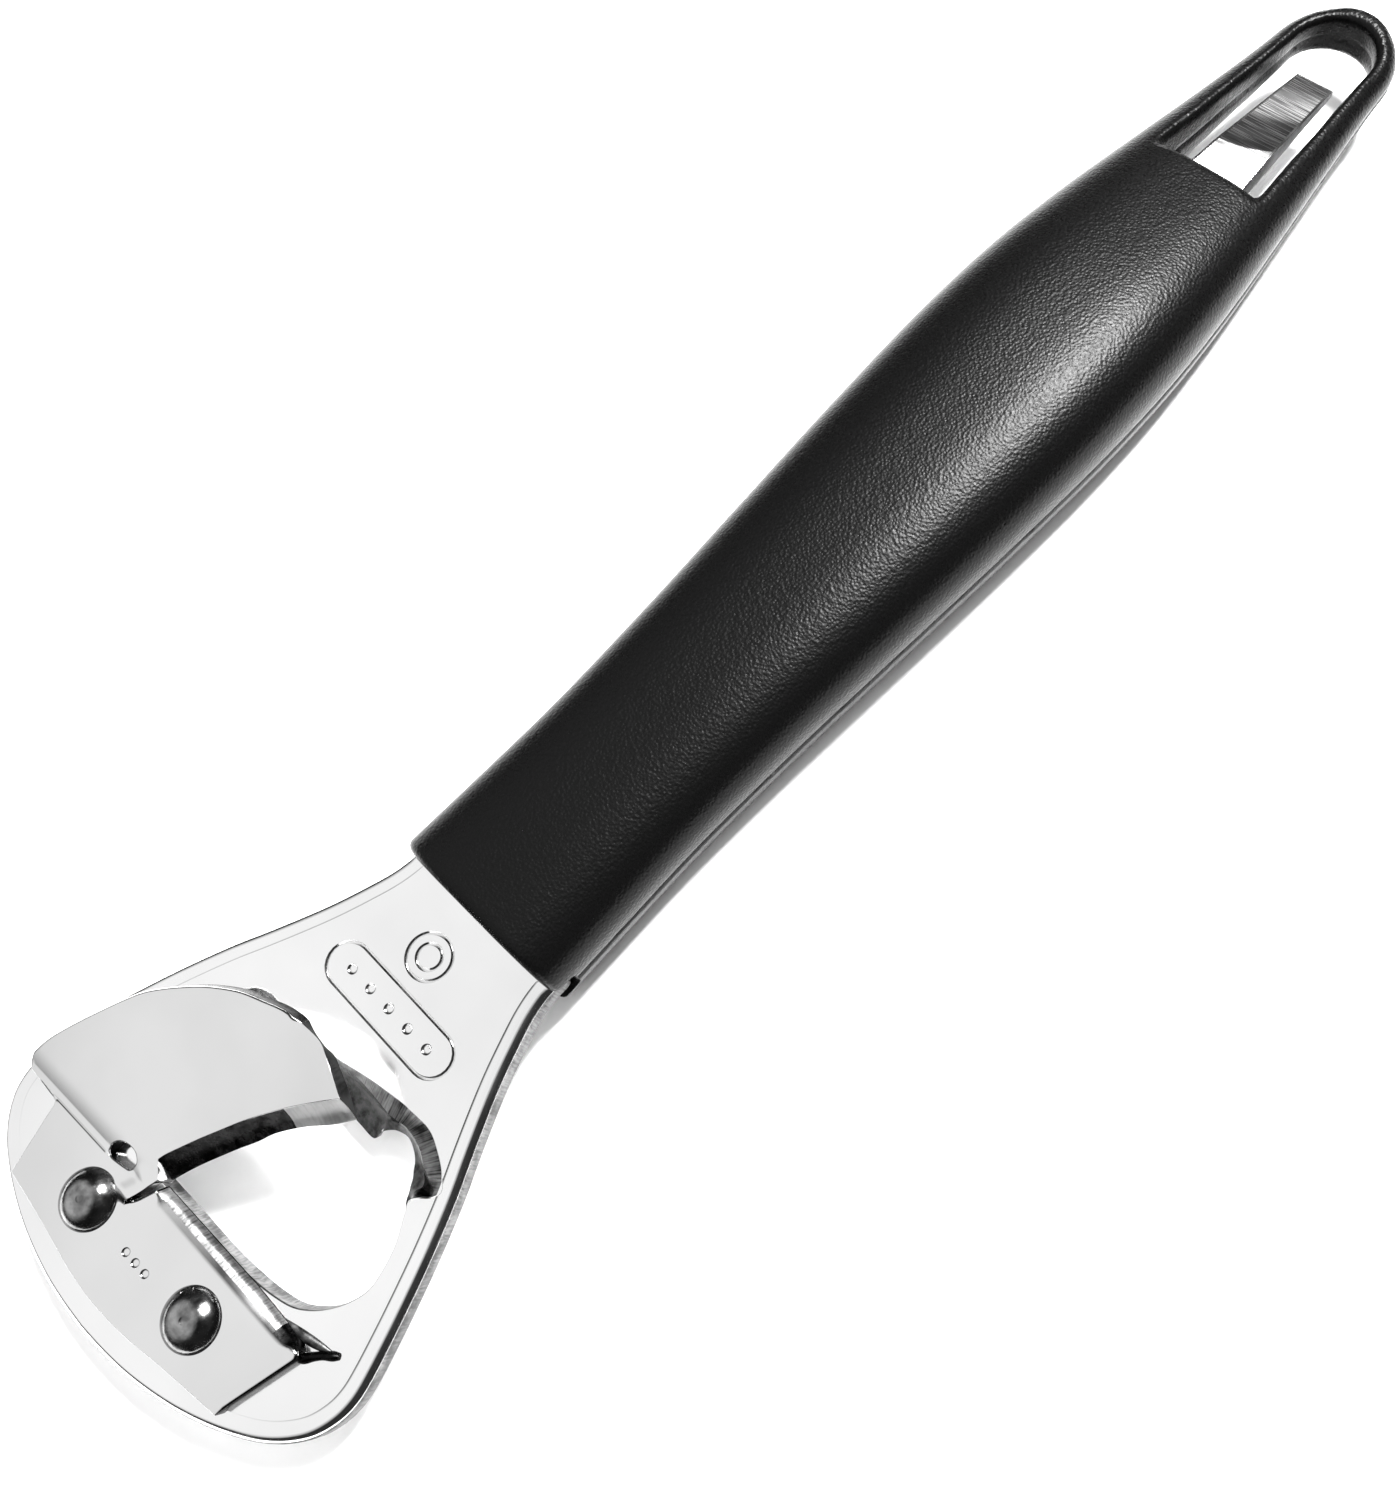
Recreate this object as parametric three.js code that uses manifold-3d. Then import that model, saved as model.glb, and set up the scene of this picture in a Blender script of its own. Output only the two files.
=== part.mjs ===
// Manual can opener: a fixed-blade lever opener with a crown-cap opening in its head.
//
// Frame: millimetres, +X from the head to the hanging loop, +Z up on the blade side.
// The opener lies on the flat of its handle at z = 0, and the origin is under the middle of its length.

import * as THREE from 'three';
import { mergeVertices } from 'three/addons/utils/BufferGeometryUtils.js';
import Module from 'manifold-3d';

const wasm = await Module();
wasm.setup();

// ---- Driving dimensions -----------------------------------------------------------------------

const TOTAL_LENGTH = 169.7;
const HANDLE_LENGTH = 123.8;
const HEAD_LENGTH = TOTAL_LENGTH - HANDLE_LENGTH;
const HEAD_END_X = -TOTAL_LENGTH / 2;
const LOOP_END_X = TOTAL_LENGTH / 2;
const FRONT_X = HEAD_END_X + HEAD_LENGTH; // where the neck enters the handle
const HEAD_SKEW = 0.052; // the head's end and its strip lie about 3 degrees off square

const GRIP_DEPTH = 5.6; // from the mould parting plane down to the flat the opener lies on
const PARTING_Z = GRIP_DEPTH;
const PLATE_THICKNESS = 2.3;
const PLATE_BOTTOM_Z = PARTING_Z - PLATE_THICKNESS / 2;
const PLATE_TOP_Z = PLATE_BOTTOM_Z + PLATE_THICKNESS;
const MOULD_GAP = 0.25; // between the tang and the plastic round it

const STRIP_THICKNESS = 1.4;
const STRIP_TOP_Z = PLATE_TOP_Z + STRIP_THICKNESS;
const STRIP_FAR_X = FRONT_X - 43;
const BEND_X = FRONT_X - 33.9; // the blade bends up from the strip along this line
const BLADE_RISE = THREE.MathUtils.degToRad(20);

const RIVET_X = FRONT_X - 38.2;
const RIVET_HALF_SPACING = 6.9;
const RIVET_HEAD_RADIUS = 2.65;
const RIVET_HEAD_HEIGHT = 1.3;
const RIVET_SHANK_RADIUS = 1.5;
const RIVET_CLEARANCE = 0.25;
const RIVET_TAIL_RADIUS = 2.3;
const RIVET_TAIL_HEIGHT = 0.7;

const TONGUE_TIP_X = LOOP_END_X - 7.8;
const TONGUE_TIP_THICKNESS = 0.9;
const LOOP_HOLE_NEAR_X = LOOP_END_X - 26;
const LOOP_HOLE_FAR_X = LOOP_END_X - 2.2;

// ---- Helpers ----------------------------------------------------------------------------------

function solidOf(geometry) {
  const bare = geometry.index ? geometry.toNonIndexed() : geometry.clone();
  bare.deleteAttribute('normal');
  bare.deleteAttribute('uv');
  const merged = mergeVertices(bare, 1e-4);
  const triVerts = new Uint32Array(merged.index.array);
  const vertProperties = new Float32Array(merged.attributes.position.array);
  return new wasm.Manifold(new wasm.Mesh({ numProp: 3, vertProperties, triVerts }));
}

function geometryOf(solid) {
  const mesh = solid.getMesh();
  const geometry = new THREE.BufferGeometry();
  const points = new Float32Array(mesh.numVert * 3);
  for (let i = 0; i < mesh.numVert; i += 1) {
    for (let k = 0; k < 3; k += 1) {
      points[i * 3 + k] = mesh.vertProperties[i * mesh.numProp + k];
    }
  }
  geometry.setAttribute('position', new THREE.BufferAttribute(points, 3));
  geometry.setIndex(new THREE.BufferAttribute(new Uint32Array(mesh.triVerts), 1));
  geometry.computeVertexNormals();
  return geometry;
}

// A flat outline raised from z = bottom to z = top, with an optional rounded edge.
function slab(shape, bottom, top, edge = 0, curveSegments = 10) {
  const geometry = new THREE.ExtrudeGeometry(shape, {
    depth: top - bottom - 2 * edge,
    curveSegments,
    bevelEnabled: edge > 0,
    bevelThickness: edge,
    bevelSize: edge,
    bevelOffset: -edge,
    bevelSegments: 2,
  });
  geometry.translate(0, 0, bottom + edge);
  return solidOf(geometry);
}

// A profile drawn in X and Z, spread along Y from y = low to y = high.
function wall(profile, low, high) {
  const geometry = new THREE.ExtrudeGeometry(profile, { depth: high - low, bevelEnabled: false, curveSegments: 8 });
  geometry.rotateX(Math.PI / 2);
  geometry.translate(0, high, 0);
  return solidOf(geometry);
}

// Leaves a point where it is, or leans it with the head's end.
const square = (x, y) => [x, y];
const skewed = (x, y) => {
  const share = THREE.MathUtils.clamp((HEAD_END_X + 17 - x) / 8, 0, 1);
  return [x - HEAD_SKEW * y * share, y];
};

// A closed outline that is the same on both sides of the X axis before place() moves its points.
// Each step is the next corner of the +Y side, [x, y], or a curve to it, [x, y, control 1 x, y,
// control 2 x, y]. The -Y side runs back through the same steps.
function mirroredOutline(start, steps, place = square) {
  const shape = new THREE.Shape();
  shape.moveTo(...place(...start));
  for (const [x, y, ax, ay, bx, by] of steps) {
    if (ax === undefined) {
      shape.lineTo(...place(x, y));
    } else {
      shape.bezierCurveTo(...place(ax, ay), ...place(bx, by), ...place(x, y));
    }
  }
  const corners = [start, ...steps];
  const last = corners[corners.length - 1];
  if (last[1] !== 0) {
    shape.lineTo(...place(last[0], -last[1]));
  }
  for (let i = corners.length - 1; i > 0; i -= 1) {
    const [x, y] = corners[i - 1];
    const [, , ax, ay, bx, by] = corners[i];
    if (ax === undefined) {
      shape.lineTo(...place(x, -y));
    } else {
      shape.bezierCurveTo(...place(bx, -by), ...place(ax, -ay), ...place(x, -y));
    }
  }
  return shape;
}

function part(name, solid, material) {
  const mesh = new THREE.Mesh(geometryOf(solid), material);
  mesh.name = name;
  return mesh;
}

// ---- Body plate: head, neck, tang and tab-lifter tongue ------------------------------------------

const NECK_HALF_WIDTH = 9.2;
const TANG_HALF_WIDTH = 6.6;
const TONGUE_ROOT_HALF_WIDTH = 3.3;
const TONGUE_TIP_HALF_WIDTH = 2.05;
const NECK_END_X = FRONT_X + 1.9; // the neck's full width ends this far inside the handle

// The head narrows from its widest place through a straight flank and a hollow neck.
function headOutline() {
  const end = HEAD_END_X;
  return mirroredOutline(
    [end, 0],
    [
      [end + 2.7, 13.5, end, 5, end + 1, 9.8],
      [end + 8.2, 20.2, end + 4, 16.4, end + 5.9, 18.9],
      [end + 18, 19.7, end + 11, 21.4, end + 14.6, 21.1],
      [end + 32.3, 14],
      [FRONT_X - 1.6, NECK_HALF_WIDTH + 0.1, end + 37.3, 11.8, end + 39.7, 9.9],
      [NECK_END_X - 0.6, NECK_HALF_WIDTH],
      [NECK_END_X, NECK_HALF_WIDTH - 0.8, NECK_END_X - 0.2, NECK_HALF_WIDTH, NECK_END_X, NECK_HALF_WIDTH - 0.4],
      [NECK_END_X + 2.4, TANG_HALF_WIDTH],
      [FRONT_X + 70, TANG_HALF_WIDTH],
      [LOOP_HOLE_NEAR_X - 2, TONGUE_ROOT_HALF_WIDTH],
      [TONGUE_TIP_X, TONGUE_TIP_HALF_WIDTH],
    ],
    skewed,
  );
}

const OPENING_NEAR_X = FRONT_X - 33.3; // beside the rivet strip
const OPENING_FAR_X = FRONT_X - 17.4; // the edge that carries the prying lip
const OPENING_WIDE_SIDE_Y = -15.4; // clear of the blade
const OPENING_BLADE_SIDE_Y = 12.4; // under the blade

// The crown-cap opening: straight beside the strip, round towards the flanks and the neck.
function openingOutline() {
  const near = OPENING_NEAR_X;
  const far = OPENING_FAR_X;
  const wide = OPENING_WIDE_SIDE_Y;
  const covered = OPENING_BLADE_SIDE_Y;
  const shape = new THREE.Shape();
  shape.moveTo(near - 0.5, 9);
  shape.bezierCurveTo(near - 0.5, 11.4, near + 2, covered, near + 4.6, covered);
  shape.lineTo(far - 5, covered);
  shape.bezierCurveTo(far - 2, covered, far, 11, far, 8);
  shape.lineTo(far, -8.6);
  shape.bezierCurveTo(far, -10.8, far - 1, -12.2, far - 2.3, -12.9);
  shape.bezierCurveTo(far - 5, -14.3, far - 7, wide, far - 9.2, wide);
  shape.bezierCurveTo(near + 4.6, wide, near + 2.2, -14, near + 1.4, -11.2);
  shape.lineTo(near + 0.7, -7.6);
  shape.closePath();
  return shape;
}

const LIP_HALF_WIDTH = 6.2;
const LIP_REACH = 2.4;
const LIP_DROP = 4.2;

// The prying lip curls down and forward out of the opening's neck side.
function pryingLip() {
  const rootX = OPENING_FAR_X + 1.6;
  const tipX = OPENING_FAR_X - LIP_REACH;
  const tipZ = PLATE_TOP_Z - LIP_DROP;
  const profile = new THREE.Shape();
  profile.moveTo(rootX, PLATE_TOP_Z - 0.05);
  profile.bezierCurveTo(rootX - 1.6, PLATE_TOP_Z - 0.1, tipX + 1.8, PLATE_TOP_Z - 1.4, tipX, tipZ + 1.1);
  profile.lineTo(tipX + 0.5, tipZ);
  profile.bezierCurveTo(tipX + 2.6, tipZ + 0.8, rootX - 0.6, PLATE_BOTTOM_Z - 0.3, rootX + 0.4, PLATE_BOTTOM_Z);
  profile.lineTo(rootX + 0.4, PLATE_TOP_Z - 0.05);
  profile.closePath();
  return wall(profile, -LIP_HALF_WIDTH, LIP_HALF_WIDTH);
}

const STOP_LUG_SIZE = [1.3, 2.2, 0.7];

// A small coined lug at the strip's corner takes the blade's thrust.
function stopLug() {
  const [length, width, height] = STOP_LUG_SIZE;
  const lug = new THREE.BoxGeometry(length, width, height + 0.6);
  lug.translate(BEND_X + 1.1, -(STRIP_HALF_WIDTH + 0.3 + width / 2), PLATE_TOP_Z + (height - 0.6) / 2);
  return solidOf(lug);
}

// The tongue is ground down towards its tip on the upper side.
function tongueGrind() {
  const profile = new THREE.Shape();
  profile.moveTo(TONGUE_TIP_X - 10, PLATE_TOP_Z);
  profile.lineTo(TONGUE_TIP_X + 1, PLATE_BOTTOM_Z + TONGUE_TIP_THICKNESS - 0.1);
  profile.lineTo(TONGUE_TIP_X + 1, PLATE_TOP_Z + 1);
  profile.lineTo(TONGUE_TIP_X - 10, PLATE_TOP_Z + 1);
  profile.closePath();
  return wall(profile, -6, 6);
}

// Where a rivet stands: side is 1 for the left one and -1 for the right one.
function rivetPlace(side) {
  const y = side * RIVET_HALF_SPACING;
  return [RIVET_X - HEAD_SKEW * y, y];
}

function rivetHole(side, bottom, top) {
  const radius = RIVET_SHANK_RADIUS + RIVET_CLEARANCE;
  const hole = new THREE.CylinderGeometry(radius, radius, top - bottom + 2, 24);
  const [x, y] = rivetPlace(side);
  hole.rotateX(Math.PI / 2);
  hole.translate(x, y, (top + bottom) / 2);
  return solidOf(hole);
}

function bodyPlate() {
  let plate = slab(headOutline(), PLATE_BOTTOM_Z, PLATE_TOP_Z, 0.3);
  plate = plate.subtract(slab(openingOutline(), PLATE_BOTTOM_Z - 1, PLATE_TOP_Z + 1));
  plate = plate.add(pryingLip());
  plate = plate.add(stopLug());
  plate = plate.subtract(tongueGrind());
  for (const side of [1, -1]) {
    plate = plate.subtract(rivetHole(side, PLATE_BOTTOM_Z, PLATE_TOP_Z));
  }
  return plate;
}

// ---- Cutter blade: rivet strip, raised half-moon and rim guide ------------------------------------

const STRIP_NEAR_X = BEND_X + 0.2;
const STRIP_HALF_WIDTH = 15.4;
const STRIP_FAR_HALF_WIDTH = 13.8;
const BLADE_ROOT_Y = 20.3; // the blade is wider than the strip on this side
const EDGE_START = [1, 3.1]; // the cutting edge's ends, on the flat blade
const EDGE_TIP = [17, -6.8];
const BEVEL_WIDTH = 1.9;
const RELIEF_RADIUS = 0.95;
const RELIEF_Y = 7.4;

function stripOutline() {
  return mirroredOutline(
    [STRIP_FAR_X - 0.3, 0],
    [
      [STRIP_FAR_X + 1.3, STRIP_FAR_HALF_WIDTH, STRIP_FAR_X - 0.2, 4, STRIP_FAR_X + 0.3, 9],
      [STRIP_NEAR_X, STRIP_HALF_WIDTH],
    ],
  );
}

// Drawn flat with the bend line on x = 0, then turned up about it.
function bladeOutline() {
  const shape = new THREE.Shape();
  shape.moveTo(0, BLADE_ROOT_Y);
  shape.bezierCurveTo(2.4, BLADE_ROOT_Y + 0.1, 4.6, BLADE_ROOT_Y - 0.3, 7, 19.1);
  shape.bezierCurveTo(11.4, 17, 15.8, 12.2, 18.2, 8);
  shape.bezierCurveTo(19.3, 5.7, 19.8, 2.7, 19.5, 0);
  shape.lineTo(...EDGE_TIP);
  shape.bezierCurveTo(13.4, -3.6, 8.6, -0.2, ...EDGE_START);
  shape.lineTo(0, EDGE_START[1] - 0.2);
  shape.closePath();
  return shape;
}

// What the grinding wheel takes off along the cutting edge: a sheared strip over the edge's curve.
function cuttingBevel() {
  const edge = new THREE.CubicBezierCurve(
    new THREE.Vector2(EDGE_TIP[0] + 3, EDGE_TIP[1] - 2.6),
    new THREE.Vector2(13.4, -3.6),
    new THREE.Vector2(8.6, -0.2),
    new THREE.Vector2(EDGE_START[0] - 0.4, EDGE_START[1] + 0.2),
  );
  const rings = edge.getPoints(12).map((point, i, points) => {
    const before = points[Math.max(i - 1, 0)];
    const after = points[Math.min(i + 1, points.length - 1)];
    const along = new THREE.Vector2().subVectors(after, before).normalize();
    const inward = new THREE.Vector2(along.y, -along.x);
    const place = (reach, z) => [point.x + inward.x * reach, point.y + inward.y * reach, z];
    return [
      place(-0.1, 0.02),
      place(-2, -0.2),
      place(-2, STRIP_THICKNESS + 0.3),
      place(BEVEL_WIDTH + 0.4, STRIP_THICKNESS + 0.3),
    ];
  });
  return loftGeometry(rings);
}

// The blade's root laps down over the strip and hooks under the can's rim.
function rimGuide() {
  const y = EDGE_START[1];
  const shape = new THREE.Shape();
  shape.moveTo(BEND_X - 0.9, RELIEF_Y - 0.2);
  shape.quadraticCurveTo(BEND_X - 1.2, y + 2.6, BEND_X - 2.1, y + 1.7);
  shape.quadraticCurveTo(BEND_X - 2.6, y + 1, BEND_X - 1.7, y + 0.6);
  shape.lineTo(BEND_X + 1.4, y - 0.9);
  shape.lineTo(BEND_X + 2.2, y + 1.4);
  shape.lineTo(BEND_X + 1, RELIEF_Y - 0.2);
  shape.closePath();
  return slab(shape, STRIP_TOP_Z - 0.3, STRIP_TOP_Z + 0.75);
}

function cutterBlade() {
  const raised = new THREE.Matrix4().makeTranslation(BEND_X, 0, PLATE_TOP_Z + 0.05);
  raised.multiply(new THREE.Matrix4().makeRotationY(-BLADE_RISE));
  const sheet = new THREE.ExtrudeGeometry(bladeOutline(), {
    depth: STRIP_THICKNESS,
    bevelEnabled: false,
    curveSegments: 12,
  });
  const relief = new THREE.CylinderGeometry(RELIEF_RADIUS, RELIEF_RADIUS, 8, 20);
  relief.rotateX(Math.PI / 2);
  relief.translate(BEND_X + 0.2, RELIEF_Y, STRIP_TOP_Z);

  let blade = solidOf(sheet).subtract(solidOf(cuttingBevel())).transform(raised.elements);
  blade = blade.add(slab(stripOutline(), PLATE_TOP_Z, STRIP_TOP_Z));
  blade = blade.add(rimGuide());
  blade = blade.subtract(solidOf(relief));
  const skew = new THREE.Matrix4().set(1, -HEAD_SKEW, 0, 0, 0, 1, 0, 0, 0, 0, 1, 0, 0, 0, 0, 1);
  blade = blade.transform(skew.elements);
  for (const side of [1, -1]) {
    blade = blade.subtract(rivetHole(side, PLATE_TOP_Z, STRIP_TOP_Z));
  }
  return blade;
}

// ---- Rivets -------------------------------------------------------------------------------------

// A turned profile: domed head on the strip, shank through both sheets, flat upset tail below.
function rivet(side) {
  const profile = [];
  const steps = 7;
  profile.push(new THREE.Vector2(0, PLATE_BOTTOM_Z - RIVET_TAIL_HEIGHT));
  profile.push(new THREE.Vector2(RIVET_TAIL_RADIUS - 0.5, PLATE_BOTTOM_Z - RIVET_TAIL_HEIGHT));
  profile.push(new THREE.Vector2(RIVET_TAIL_RADIUS, PLATE_BOTTOM_Z - 0.2));
  profile.push(new THREE.Vector2(RIVET_TAIL_RADIUS, PLATE_BOTTOM_Z));
  profile.push(new THREE.Vector2(RIVET_SHANK_RADIUS, PLATE_BOTTOM_Z));
  profile.push(new THREE.Vector2(RIVET_SHANK_RADIUS, STRIP_TOP_Z));
  for (let i = 0; i <= steps; i += 1) {
    const angle = (i / steps) * (Math.PI / 2);
    const radius = i === steps ? 0 : RIVET_HEAD_RADIUS * Math.cos(angle);
    profile.push(new THREE.Vector2(radius, STRIP_TOP_Z + RIVET_HEAD_HEIGHT * Math.sin(angle)));
  }
  const turned = new THREE.LatheGeometry(profile, 32);
  turned.rotateX(Math.PI / 2);
  turned.translate(...rivetPlace(side), 0);
  return solidOf(turned);
}

// ---- Handle -------------------------------------------------------------------------------------

// Half width, height above and depth below the parting plane, at distances from the handle's front.
const HANDLE_STATIONS = [
  // distance, half width, height, depth
  [0, 9.6, 6, 5.6],
  [18, 9.2, 6.1, 5.75],
  [42, 10.2, 6.5, 5.75],
  [70, 11.4, 6.8, 5.75],
  [86, 10.5, 5.8, 5.5],
  [98, 9, 4.2, 4],
  [108, 7.5, 3.1, 2.8],
  [117, 6.3, 2.6, 2.1],
  [HANDLE_LENGTH, 5.9, 2.3, 1.9],
];
const LOOP_ROUNDING = 6.2; // the loop's end is rounded over this length
const FRONT_ROUNDING = 0.8;
const SECTION_POWER = 3.1; // squareness of the grip's cross-section

function stationValue(distance, column) {
  const points = HANDLE_STATIONS.map((row) => new THREE.Vector2(row[0], row[column]));
  const curve = new THREE.SplineCurve(points);
  let low = 0;
  let high = 1;
  for (let i = 0; i < 40; i += 1) {
    const middle = (low + high) / 2;
    if (curve.getPoint(middle).x < distance) {
      low = middle;
    } else {
      high = middle;
    }
  }
  return curve.getPoint((low + high) / 2).y;
}

// One cross-section: a superellipse, fuller above the parting plane than below it.
function handleSection(distance, sides) {
  let half = stationValue(distance, 1);
  let height = stationValue(distance, 2);
  let depth = stationValue(distance, 3);
  const fromEnd = HANDLE_LENGTH - distance;
  if (fromEnd < LOOP_ROUNDING) {
    const t = 1 - fromEnd / LOOP_ROUNDING;
    half *= Math.max((1 - t ** 2.5) ** 0.46, 0.04);
  }
  if (distance < FRONT_ROUNDING) {
    const t = 1 - distance / FRONT_ROUNDING;
    const inset = FRONT_ROUNDING * (1 - Math.sqrt(1 - t * t)) * 0.8;
    half -= inset;
    height -= inset;
    depth -= inset;
  }
  const ring = [];
  for (let i = 0; i < sides; i += 1) {
    const angle = (i / sides) * 2 * Math.PI;
    const c = Math.cos(angle);
    const s = Math.sin(angle);
    const power = 2 / SECTION_POWER;
    const y = half * Math.sign(c) * Math.abs(c) ** power;
    const z = (s > 0 ? height : depth) * Math.sign(s) * Math.abs(s) ** power;
    ring.push([FRONT_X + distance, y, PARTING_Z + z]);
  }
  return ring;
}

function handleDistances() {
  const distances = [0, 0.2, 0.45, FRONT_ROUNDING];
  for (let d = 4; d < HANDLE_LENGTH - LOOP_ROUNDING; d += 4) {
    distances.push(d);
  }
  const steps = 9;
  for (let i = 0; i <= steps; i += 1) {
    distances.push(HANDLE_LENGTH - LOOP_ROUNDING * (1 - Math.sin((i / steps) * (Math.PI / 2))));
  }
  return distances;
}

// Rings of equal point count, joined side by side and closed by a fan at each end.
function loftGeometry(rings) {
  const sides = rings[0].length;
  const points = rings.flat();
  const faces = [];
  for (let r = 0; r + 1 < rings.length; r += 1) {
    for (let i = 0; i < sides; i += 1) {
      const j = (i + 1) % sides;
      const a = r * sides + i;
      const b = r * sides + j;
      faces.push(a, b, b + sides, a, b + sides, a + sides);
    }
  }
  const last = (rings.length - 1) * sides;
  for (let i = 1; i + 1 < sides; i += 1) {
    faces.push(0, i + 1, i);
    faces.push(last, last + i, last + i + 1);
  }
  const geometry = new THREE.BufferGeometry();
  geometry.setAttribute('position', new THREE.BufferAttribute(new Float32Array(points.flat()), 3));
  geometry.setIndex(faces);
  return geometry;
}

// The hanging hole is a long drop shape, wide where the tongue comes in.
function loopHoleOutline() {
  const near = LOOP_HOLE_NEAR_X;
  const far = LOOP_HOLE_FAR_X;
  return mirroredOutline(
    [near, 4.9],
    [
      [near + 0.8, 5.6, near, 5.4, near + 0.3, 5.6],
      [far - 10.5, 4.4],
      [far - 4.6, 4],
      [far, 0, far - 1.6, 3.7, far, 2],
    ],
  );
}

// The space for the tang, open at the front's sides where the neck's full width goes in.
function tangSpace() {
  const gap = MOULD_GAP;
  const outline = mirroredOutline(
    [FRONT_X - 2, 12],
    [
      [NECK_END_X, 12],
      [NECK_END_X + gap, NECK_HALF_WIDTH - 0.8],
      [NECK_END_X + 2.4 + gap, TANG_HALF_WIDTH + gap],
      [FRONT_X + 70, TANG_HALF_WIDTH + gap],
      [LOOP_HOLE_NEAR_X - 2, TONGUE_ROOT_HALF_WIDTH + gap],
      [LOOP_HOLE_NEAR_X + 2, TONGUE_ROOT_HALF_WIDTH + gap],
    ],
  );
  return slab(outline, PLATE_BOTTOM_Z - gap, PLATE_TOP_Z + gap);
}

function handle() {
  const sides = 48;
  let body = solidOf(loftGeometry(handleDistances().map((distance) => handleSection(distance, sides))));
  const below = new THREE.BoxGeometry(TOTAL_LENGTH, 60, 10);
  below.translate(0, 0, -5);
  body = body.subtract(solidOf(below));
  body = body.subtract(slab(loopHoleOutline(), -5, 30));
  body = body.subtract(tangSpace());
  return body;
}

// ---- Assembly -------------------------------------------------------------------------------------

const polishedSteel = new THREE.MeshStandardMaterial({ color: 0xdcdddf, roughness: 0.12, metalness: 1 });
const bladeSteel = new THREE.MeshStandardMaterial({ color: 0xd6d7d9, roughness: 0.16, metalness: 1 });
const rivetSteel = new THREE.MeshStandardMaterial({ color: 0xb9babc, roughness: 0.22, metalness: 1 });
const blackPlastic = new THREE.MeshStandardMaterial({ color: 0x111112, roughness: 0.55, metalness: 0 });

const canOpener = new THREE.Group();
canOpener.add(part('body_plate', bodyPlate(), polishedSteel));
canOpener.add(part('cutter_blade', cutterBlade(), bladeSteel));
canOpener.add(part('rivet_left', rivet(1), rivetSteel));
canOpener.add(part('rivet_right', rivet(-1), rivetSteel));
canOpener.add(part('handle', handle(), blackPlastic));

export default canOpener;
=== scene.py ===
"""Manual can opener: polished steel head with a raised cutting blade, and a grained black handle.

Lengths below are in millimetres, in the tool's own frame: x = 0 where the neck enters the handle,
+X towards the hanging loop, z = 0 on the top of the body plate. at() turns them into metres.
"""

import math

import bmesh
import bpy
import numpy as np
from mathutils import Matrix, Vector
from mathutils.geometry import delaunay_2d_cdt


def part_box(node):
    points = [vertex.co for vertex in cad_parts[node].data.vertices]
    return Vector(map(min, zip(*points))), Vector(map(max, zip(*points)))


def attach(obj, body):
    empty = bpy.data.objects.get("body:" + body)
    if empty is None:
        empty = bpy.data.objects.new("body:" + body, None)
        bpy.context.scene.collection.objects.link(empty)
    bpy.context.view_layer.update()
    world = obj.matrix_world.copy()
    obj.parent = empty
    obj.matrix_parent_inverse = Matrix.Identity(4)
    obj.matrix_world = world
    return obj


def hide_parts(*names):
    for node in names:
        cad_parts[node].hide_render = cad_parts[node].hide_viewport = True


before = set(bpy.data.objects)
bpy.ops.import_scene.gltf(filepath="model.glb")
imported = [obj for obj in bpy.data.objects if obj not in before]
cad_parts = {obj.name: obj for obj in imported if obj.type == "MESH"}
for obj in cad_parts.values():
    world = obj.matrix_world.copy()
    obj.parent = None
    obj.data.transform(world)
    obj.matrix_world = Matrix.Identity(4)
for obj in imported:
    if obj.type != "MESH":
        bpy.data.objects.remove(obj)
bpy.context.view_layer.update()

MM = 0.001
FRONT_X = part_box("handle")[0].x
PLATE_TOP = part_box("cutter_blade")[0].z
HANDLE_LENGTH = (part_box("handle")[1].x - FRONT_X) / MM
REST_Z = -PLATE_TOP / MM  # the surface the opener lies on

PLATE_THICKNESS = 2.3
SHEET_THICKNESS = 1.4  # rivet strip and blade
HEAD_SKEW = 0.052  # the head's end and its strip lie about 3 degrees off square
PARTING_Z = -PLATE_THICKNESS / 2


def at(x, y, z):
    """A point of the tool's own frame, in metres in the model's frame."""
    return (FRONT_X + x * MM, y * MM, PLATE_TOP + z * MM)


# ---- Camera, light and floor ----

# The camera's place, its angles in degrees, and its lens for a 36 mm wide sensor.
CAMERA_AT = (6.3, -43.4, 110.1)
CAMERA_AZIMUTH = -23.5
CAMERA_ELEVATION = 68.33
CAMERA_ROLL = 23.6
CAMERA_LENS = 32.28

# The middle of the sky's pale patch, and how far a direction has to point that way to be dark or pale.
SKY_TOWARDS = (-0.45, 0.4, 0.8)
SKY_EDGE = (0.66, 0.86)
SKY_DARK = 0.03
FLOOR_REACH = 0.7  # metres from the floor's middle to its sides
FLOOR_TONE = 0.92


def add_camera():
    data = bpy.data.cameras.new("camera")
    data.lens = CAMERA_LENS
    data.sensor_width = 36
    data.clip_start = 0.005
    camera = bpy.data.objects.new("camera", data)
    bpy.context.scene.collection.objects.link(camera)
    a, e = math.radians(CAMERA_AZIMUTH), math.radians(CAMERA_ELEVATION)
    back = Vector((math.sin(a) * math.cos(e), -math.cos(a) * math.cos(e), math.sin(e)))
    turn = back.to_track_quat("Z", "Y").to_matrix() @ Matrix.Rotation(-math.radians(CAMERA_ROLL), 3, "Z")
    camera.matrix_world = Matrix.Translation(at(*CAMERA_AT)) @ turn.to_4x4()
    bpy.context.scene.camera = camera


def add_area_light(name, place, aim, size, power, mirrored=True):
    """A soft box; one that is not mirrored lights surfaces without showing up in polished ones."""
    data = bpy.data.lights.new(name, "AREA")
    data.shape = "RECTANGLE"
    data.size, data.size_y = size
    data.energy = power
    light = bpy.data.objects.new(name, data)
    light.location = place
    light.visible_glossy = mirrored
    light.rotation_euler = (Vector(aim) - Vector(place)).to_track_quat("-Z", "Y").to_euler()
    bpy.context.scene.collection.objects.link(light)


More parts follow.
